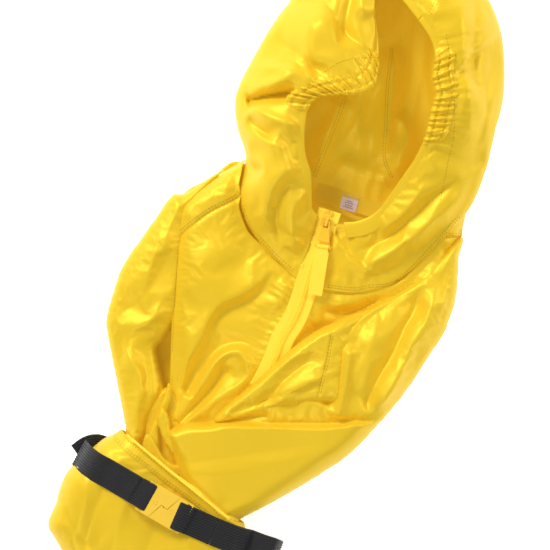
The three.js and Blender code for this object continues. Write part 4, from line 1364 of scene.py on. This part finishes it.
# %% The leaves at the mouth
LEAVES = {
    "leaf_base": (
        14, 17,
        [
            (-140, -140), (-128, -128), (-112, -118), (-96, -140), (-84, -170), (-80, -236), (-100, -236),
            (-124, -214), (-146, -196),
        ],
    ),
    "leaf_inner": (
        33, 7,
        [
            (-112, -112), (-117, -126), (-122, -137), (-127, -150), (-134, -166), (-140, -180), (-142, -192),
            (-130, -196), (-121, -180), (-121, -160), (-114, -143), (-109, -130), (-109, -118),
        ],
    ),
    "leaf_outer": (
        39, 5,
        [
            (-135, -166), (-125, -175), (-117, -190), (-107, -198), (-99, -201), (-100, -212), (-116, -210),
            (-134, -196), (-140, -182),
        ],
    ),
    "leaf_middle": (
        36, 8,
        [
            (-118, -138), (-125, -150), (-122, -161), (-118, -173), (-112, -183), (-106, -190), (-104, -178),
            (-109, -164), (-111, -150),
        ],
    ),
}
for name, (low, thick, corners) in LEAVES.items():
    leaf = pad(
        name, corners, low + thick, low, 5, lambda xy: crumple(xy, 70, 30, 6, 1.2, 3.0), spacing=2, grow=0.0,
        swell=0,
    )
    thickness(leaf, 0.4, 1)
    collection(leaf, nylon, "jacket")

# %% [markdown]
# ## The front zip
#
# A coil zip is two tapes, each with a spiral of nylon sewn to its edge. The turns of the two
# spirals lock between each other. Each turn is a small flattened link here, at the real pitch.

# %% Tapes and coils
TAPE_Z = (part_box("zip_tape_left")[0][2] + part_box("zip_tape_left")[1][2]) / 2 / MM
COIL_Z = (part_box("zip_coil_left")[0][2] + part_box("zip_coil_left")[1][2]) / 2 / MM
zip_line = spline(ZIP, 1.0)
ahead = np.gradient(zip_line, axis=0)
ahead /= np.linalg.norm(ahead, axis=1, keepdims=True)
leftward = np.stack([-ahead[:, 1], ahead[:, 0]], 1)
TAPE_END = 205
ZIP_SIDES = {"left": -1, "right": 1}
for side_name, sign in ZIP_SIDES.items():
    reach = leftward * sign
    tape_path = np.column_stack([zip_line + reach * 6.1, np.full(len(zip_line), TAPE_Z)])[:TAPE_END:2]
    tape = ribbon(f"tape_{side_name}", tape_path, 12.0, 0.9, profile=flat_profile)
    collection(tape, tape_cloth, "jacket", [f"zip_tape_{side_name}"])
    turns = evenly(zip_line[3:TAPE_END], 1.25)
    way = np.gradient(turns, axis=0)
    way /= np.linalg.norm(way, axis=1, keepdims=True)
    out = np.stack([-way[:, 1], way[:, 0]], 1) * sign
    points, faces = [], []
    angle = np.linspace(0, 2 * math.pi, 10, endpoint=False)
    for i, (spot, w, o) in enumerate(zip(turns, way, out)):
        shift = 0.31 * sign
        for slice_at, radius in ((-0.4, 0.5), (-0.15, 0.95), (0.15, 0.95), (0.4, 0.5)):
            for a in angle:
                wide, tall = math.cos(a) * radius * 1.8, math.sin(a) * radius * 1.15
                plan = spot + o * (1.2 + wide) + w * (slice_at * 1.15 + shift)
                points.append([*plan, COIL_Z + 0.1 + tall])
        first = i * 40
        for r in range(3):
            for j in range(10):
                k = (j + 1) % 10
                faces.append(
                    (first + r * 10 + j, first + r * 10 + k, first + r * 10 + 10 + k, first + r * 10 + 10 + j)
                )
        faces.append(tuple(first + j for j in range(10))[::-1])
        faces.append(tuple(first + 30 + j for j in range(10)))
    coil = cloth_object(f"coil_{side_name}", np.array(points), faces)
    collection(coil, coil_nylon, "jacket", [f"zip_coil_{side_name}"])
    print("coil", side_name, len(turns), "turns")

# %% [markdown]
# The slider, its pull and the clasp are CAD parts with the right shape and size. They need only
# softer edges and a better finish, so they keep their meshes and get a bevel and a material.

# %% Hardware from the CAD
def keep(node, material, width=0.4):
    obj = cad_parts[node]
    obj.data.materials.clear()
    obj.data.materials.append(material)
    if width:
        soft = obj.modifiers.new("soft_edges", "BEVEL")
        soft.width, soft.segments, soft.limit_method = width * MM, 3, "ANGLE"
        soft.harden_normals = True
    return obj


for node in ("zip_slider", "zip_pull", "zip_top_stop_left", "zip_top_stop_right"):
    keep(node, enamel, 0.35)
for node in ("clasp_half_left", "clasp_half_right"):
    keep(node, clasp_plastic, 0.5)
keep("zip_pull_tab", tape_cloth, 0.3)
keep("hanger_loop", neck_cloth, 0.4)
keep("neck_tape", neck_cloth, 0.3)
keep("size_label", label_satin, 0.1)
keep("pouch_zip_coil_front", coil_nylon, 0.3)

# %% [markdown]
# ## The belt
#
# The belt is a knitted elastic with ribs along it. Its ends go round the bars of the clasp and
# are sewn back on themselves. It lies on the pouch in front, turns at both sides, and comes back
# underneath, so each strap is one ribbon that turns over.

# %% Straps
BELT_WIDTH, BELT_THICK, BAR_RADIUS = 30.0, 1.9, 3.1
pouch_top = tree_of(pouch_front, band)


def ribbed(angle, along):
    """A strap's section with eleven ribs on top, pressed flat where it turns round a bar."""
    rise = 0.12 + 0.33 * ramp(20, 27, along)
    top, low = np.linspace(0.985, -0.985, 89), np.linspace(-0.985, 0.985, 23)
    w = np.concatenate([top, low])
    h = (1 - np.abs(w) ** 14) ** 0.5
    return w, np.concatenate([h[:89] * (0.75 + rise * np.cos(top * math.pi * 11.5)), -h[89:]])


def lay(points, lift=2.0):
    """The strap's height over the pouch: the highest of three points across it, smoothed."""
    points = np.array(points, float)
    heights = np.nanmax(
        [drop(points + np.array(o), pouch_top, lift) for o in ((0, 0), (6, 10), (-6, -10))], axis=0
    )
    heights[~np.isfinite(heights)] = np.interp(
        np.nonzero(~np.isfinite(heights))[0], np.nonzero(np.isfinite(heights))[0],
        heights[np.isfinite(heights)],
    )
    return heights


def round_bar(bar, way, z, back=13):
    """The sewn-back end: under the bar, round it, and on to the top side."""
    way = np.array(way, float) / np.linalg.norm(way)
    turn = np.linspace(-math.pi / 2, math.pi / 2, 9)
    rows = [[*(bar + way * back * t), z - BAR_RADIUS] for t in np.linspace(1, 0.05, 8)]
    rows += [[*(bar - way * math.cos(a) * BAR_RADIUS), z + math.sin(a) * BAR_RADIUS] for a in turn]
    return rows


def all_ribbed(angle, along):
    return ribbed(angle, along + 99)


def strap(name, path, across, body, nodes, profile=ribbed):
    line = smooth_path(np.array(path, float), 2)
    obj = ribbon(
        name, line, BELT_WIDTH, BELT_THICK, across=np.array([*across, 0.0]), profile=profile, round_count=112,
    )
    return collection(obj, webbing, body, nodes)

# %% [markdown]
# Each strap starts under its bar, turns round it and runs out over the pouch. At the pouch's side
# it turns again and goes down to the floor.

# %% The straps' routes
clasp_low, clasp_high = (np.array(c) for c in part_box("clasp_half_left"))
BAR_Z = (clasp_low[2] + clasp_high[2]) / 2 / MM
FRONT_LEFT = spline([(-131, -231.5), (-150, -221), (-172, -208.5), (-193, -197), (-205, -189.5)], 2)
left_z = np.minimum(lay(FRONT_LEFT), BAR_Z + BAR_RADIUS)
left_z = (
    left_z + (BAR_Z + BAR_RADIUS - left_z) * (1 - ramp(0, 30, np.arange(len(left_z)) * 2.0))
    - 1.0 * ramp(17, 18.5, np.arange(len(left_z)) * 2.0)
)
left_path = round_bar(FRONT_LEFT[0], FRONT_LEFT[1] - FRONT_LEFT[0], BAR_Z)
left_path += [[*p, z] for p, z in zip(FRONT_LEFT[1:], left_z[1:])]
turn_high, turn_low = left_z[-1], 9.0
for a in np.linspace(math.pi / 2, -math.pi / 2, 14)[1:]:
    reach = (turn_high - turn_low) / 2
    left_path.append(
        [
            -205 - 0.87 * 3 * math.cos(a), -189.5 + 0.49 * 3 * math.cos(a),
            (turn_high + turn_low) / 2 + reach * math.sin(a),
        ]
    )
strap("belt_front_left", left_path, (-0.486, -0.874), "jacket", ["belt_left"])

FRONT_RIGHT = spline([(-101.5, -250.3), (-86.5, -257), (-63, -268), (-28, -282), (-4, -289.5)], 2)
right_z = lay(FRONT_RIGHT)
along = np.arange(len(FRONT_RIGHT)) * 2.0
right_z = right_z + (BAR_Z + BAR_RADIUS - right_z) * (1 - ramp(0, 30, along)) - 1.0 * ramp(15, 16.5, along)
right_z = right_z + (46 - right_z) * ramp(60, 105, along)
split = int(np.argmin(np.abs(FRONT_RIGHT[:, 0] + 63)))
lead_path = round_bar(FRONT_RIGHT[0], FRONT_RIGHT[1] - FRONT_RIGHT[0], BAR_Z)
lead_path += [[*p, z] for p, z in zip(FRONT_RIGHT[1:split + 1], right_z[1:split + 1])]
strap("belt_front_lead", lead_path, (0.40, 0.917), "belt_lead", ["belt_lead"])
right_path = [[*p, z] for p, z in zip(FRONT_RIGHT[split:], right_z[split:])]
for a in np.linspace(math.pi / 2, -math.pi / 2, 14)[1:]:
    down = 22 * (1 - math.sin(a))
    right_path.append(
        [-4 + 0.93 * 5 * math.cos(a) + 0.1 * down, -289.5 - 0.37 * 5 * math.cos(a) - 0.16 * down, 46 - down]
    )
right_path += [[-14, -293, 2.0], [-30, -287, 2.0]]
strap("belt_front_right", right_path, (0.37, 0.93), "jacket", ["belt_right"], all_ribbed)
under = spline(
    [(-208, -193), (-196, -185), (-184, -186), (-160, -203), (-110, -240), (-50, -280), (-20, -291)], 3,
)
under_z = 1.6 + 8 * (1 - ramp(0, 34, np.arange(len(under)) * 3.0))
under_line = ribbon(
    "belt_under", np.column_stack([under, under_z]), BELT_WIDTH, 1.6, profile=all_ribbed, round_count=112,
)
collection(under_line, webbing, "jacket")

# %% [markdown]
# Two rows of stitches hold each end that is sewn back. The clasp has a round press mark on each
# half and a small dot between them.

# %% The sewn ends and the clasp's marks
straps = tree_of(*(bpy.data.objects[name] for name in ("belt_front_left", "belt_front_lead")))
belt_thread = surface("belt_thread", webbing_paint)
for number, (start, stop, body) in enumerate(
    [((-139.5, -212), (-151.5, -233), "jacket"), ((-82, -245), (-95, -268), "belt_lead")]
):
    middle = [(a + b) / 2 for a, b in zip(start, stop)]
    for offset in (-0.8, 0.8):
        stitch_line(
            f"belt_sewn_{number}_{offset > 0}", [start, middle, stop], straps, 2.6, 2.2, 1.2, belt_thread,
            body, offset,
        )


def ring(name, centre, z, radius, thick, material, body, slot):
    turn = np.linspace(0, 2 * math.pi, 33)
    path = np.column_stack(
        [centre[0] + radius * np.cos(turn), centre[1] + radius * np.sin(turn), np.full(33, z)]
    )
    return collection(ribbon(name, path, thick, thick, round_count=10), material, body, ())


CLASP_TOP = clasp_high[2] / MM
ring("clasp_mark_left", (-124.2, -236.3), CLASP_TOP, 1.9, 0.6, clasp_plastic, "jacket", "clasp")
ring("clasp_mark_right", (-107.9, -246.0), CLASP_TOP, 1.9, 0.6, clasp_plastic, "belt_lead", "clasp")
ring("clasp_dot", (-116.0, -241.2), CLASP_TOP, 0.35, 0.6, webbing, "jacket", "clasp")

# %% [markdown]
# The label is held by a white zigzag of thread over its top edge. Its few woven marks are plain
# dashes, with no words.

# %% The label's thread and marks
label_turn = math.radians(-17)
label_along = np.array([math.cos(label_turn), math.sin(label_turn)])
label_up = np.array([-label_along[1], label_along[0]])
LABEL_TOP = label_high[2] / MM
zigzag = [
    [*(LABEL + label_along * (-9 + 1.5 * i) + label_up * (8.5 + (1.4 if i % 2 else -1.0))), LABEL_TOP + 1.2]
    for i in range(13)
]
collection(
    ribbon("label_zigzag", np.array(zigzag), 0.8, 0.8, round_count=8), pale_thread, "jacket",
)
label_tree = tree_of(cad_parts["size_label"])
for number, (rise, start, stop) in enumerate(
    [(3.4, -2.5, 2.5), (1.4, -4.0, 4.0), (-1.2, -3.0, 3.0), (-3.4, -4.5, 4.5)]
):
    ends = [tuple(LABEL + label_along * x + label_up * rise) for x in (start, (start + stop) / 2, stop)]
    stitch_line(f"label_mark_{number}", ends, label_tree, 1.7, 1.1, 0.7, belt_thread)

# %% [markdown]
# ## Stitching
#
# Every seam is top-stitched, mostly with two rows side by side. The stitches are laid on the
# finished cloth from above, so they follow its folds.

# %% Rows of stitches
front = tree_of(left_front, left_yoke, right_front, right_yoke, left_sleeve, right_side, cross_fold)
hood_top = tree_of(hood_pieces["hood_left"], hood_pieces["hood_right"], hood_pieces["hood_centre"], *(()))
everything = front + hood_top + tree_of(hem_left, hem_brow, hem_right)
ROWS = {
    "yoke_left": (LEFT_YOKE[:-1], front, (-1.8, -4.2)),
    "yoke_right": (RIGHT_YOKE[1:], front, (1.6, 4.0)),
    "armhole_left": ([(-104, 26), (-108, -26), (-110, -79)], front, (2.0,)),
    "armhole_right": ([(59, -64), (55, -88), (49, -112), (47, -122)], front, (-1.4, 1.4)),
    "neck_left": ([(-38, 71), (-29, 47), (-16, 33), (0, 16), (16, 2)], everything, (2.5, 5.0)),
    "neck_right": (
        [(56, -16), (83, -19), (100, -16), (129, -11), (163, 21), (196, 58)], everything, (3.0, 5.5),
    ),
    "crown": ([(172, 292), (160, 270)], everything, (-1.4, 1.4)),
    "ruche_left": ([(107, 225), (90, 224), (70, 220), (55, 212), (38, 198), (30, 188)], everything, (0.0,)),
    "ruche_right": (
        [(176, 247), (182, 215), (185, 184), (185, 142), (180, 118), (173, 79)], everything, (0.0,),
    ),
    "hood_inner_left": ([(74, 187), (66, 165), (54, 135), (42, 106)], everything, (-1.4, 1.4)),
    "hood_inner_right": (
        [(124, 240), (119, 200), (117, 158), (116, 126), (124, 104)], everything, (-1.2, 1.2),
    ),
    "zip_tape_left": ([(48, 71), (33.5, 18), (17, -35), (2, -62)], everything, (-0.8,)),
    "zip_tape_right": ([(67, 65), (50, 11), (33, -41), (26, -56)], everything, (0.8,)),
    "band_low": (MOUTH[:-1], pouch_top, (-10.8, -9.0)),
    "band_high": (MOUTH[:-1], pouch_top, (-2.4,)),
}
for name, (corners, trees, offsets) in ROWS.items():
    for number, offset in enumerate(offsets):
        stitch_line(f"stitch_{name}_{number}", corners, trees, offset=offset)

# %% [markdown]
# ## The cloth's own sizes
#
# Each panel is one layer of cloth, cut flat before it was sewn. Its cut is worked out from the
# panel as it lies: its real area, in a rectangle of the panel's own proportions.

# %% Cut sizes of the panels
def cut_size(obj):
    """The flat area of a panel, and the sides of the piece of cloth that it was cut from."""
    points = coordinates(obj.data)
    area = sum(face.area for face in obj.data.polygons)
    width, length = (points.max(0) - points.min(0))[:2]
    share = math.sqrt(1.15 * area / (width * length))
    return (round(width * share, 3), round(length * share, 3)), area


PANELS = [
    (left_front, "gathered", ["back"], []),
    (right_front, "gathered", ["back"], []),
    (left_yoke, "laid", ["back"], []),
    (right_yoke, "laid", ["back"], []),
    (back, "laid", [], []),
    (pouch_front, "gathered", ["pouch_back_cloth"], []),
    (pouch_back, "laid", [], []),
    (band, "folded", ["pouch_front_cloth"], []),
    (hood_pieces["hood_left"], "gathered", [], ["hem_left"]),
    (hood_pieces["hood_right"], "gathered", [], ["hem_right"]),
    (hood_pieces["hood_centre"], "gathered", [], ["hem_brow"]),
    (hood_pieces["neck_yoke"], "gathered", [], []),
]
for panel, held, rests, hems in PANELS:
    flat, area = cut_size(panel)
    print(panel.name, "cut", flat, "m,", round(area * 1e4), "cm2")

# %% [markdown]
# The sleeves, the fold across the zip, the rolls in the pouch and the leaves at its mouth are
# cloth with cloth or air inside, so they are slack padded pieces. The table below lists a fill for each and
# is only counted.

# %% Padded pieces
STUFFED = {"left_sleeve": 0.3, "right_side": 0.4, "cross_fold": 0.2}
STUFFED |= {name: 0.5 for name, *_ in ROLLS}
STUFFED |= {name: 0.1 for name in LEAVES}
for name, fill in STUFFED.items():
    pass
print("declared pads:", len(STUFFED))

# %% [markdown]
# ## The floor
#
# A plain pale floor and an even white sky give the soft, shadowless look of a studio table.

floor_mesh = bpy.data.meshes.new("floor")
floor_mesh.from_pydata(
    [(-6, -6, -0.0004), (6, -6, -0.0004), (6, 6, -0.0004), (-6, 6, -0.0004)], [], [(0, 1, 2, 3)],
)
floor = bpy.data.objects.new("floor", floor_mesh)
bpy.context.scene.collection.objects.link(floor)


def floor_paint(tree):
    return {"Base Color": tint(tree, noisy(tree, 3), (0.93, 0.93, 0.93), (0.95, 0.95, 0.95))}


floor.data.materials.append(
    surface(
        "studio_table", floor_paint, Roughness=0.9, Specular_IOR_Level=0.0, Emission_Color=(1, 1, 1, 1),
        Emission_Strength=0.7,
    )
)
floor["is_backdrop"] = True
world = bpy.data.worlds.new("sky")
bpy.context.scene.world = world
world.use_nodes = True
world.node_tree.nodes["Background"].inputs[0].default_value = (1, 1, 1, 1)
world.node_tree.nodes["Background"].inputs[1].default_value = 0.33

low, high = (list(corner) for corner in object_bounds())
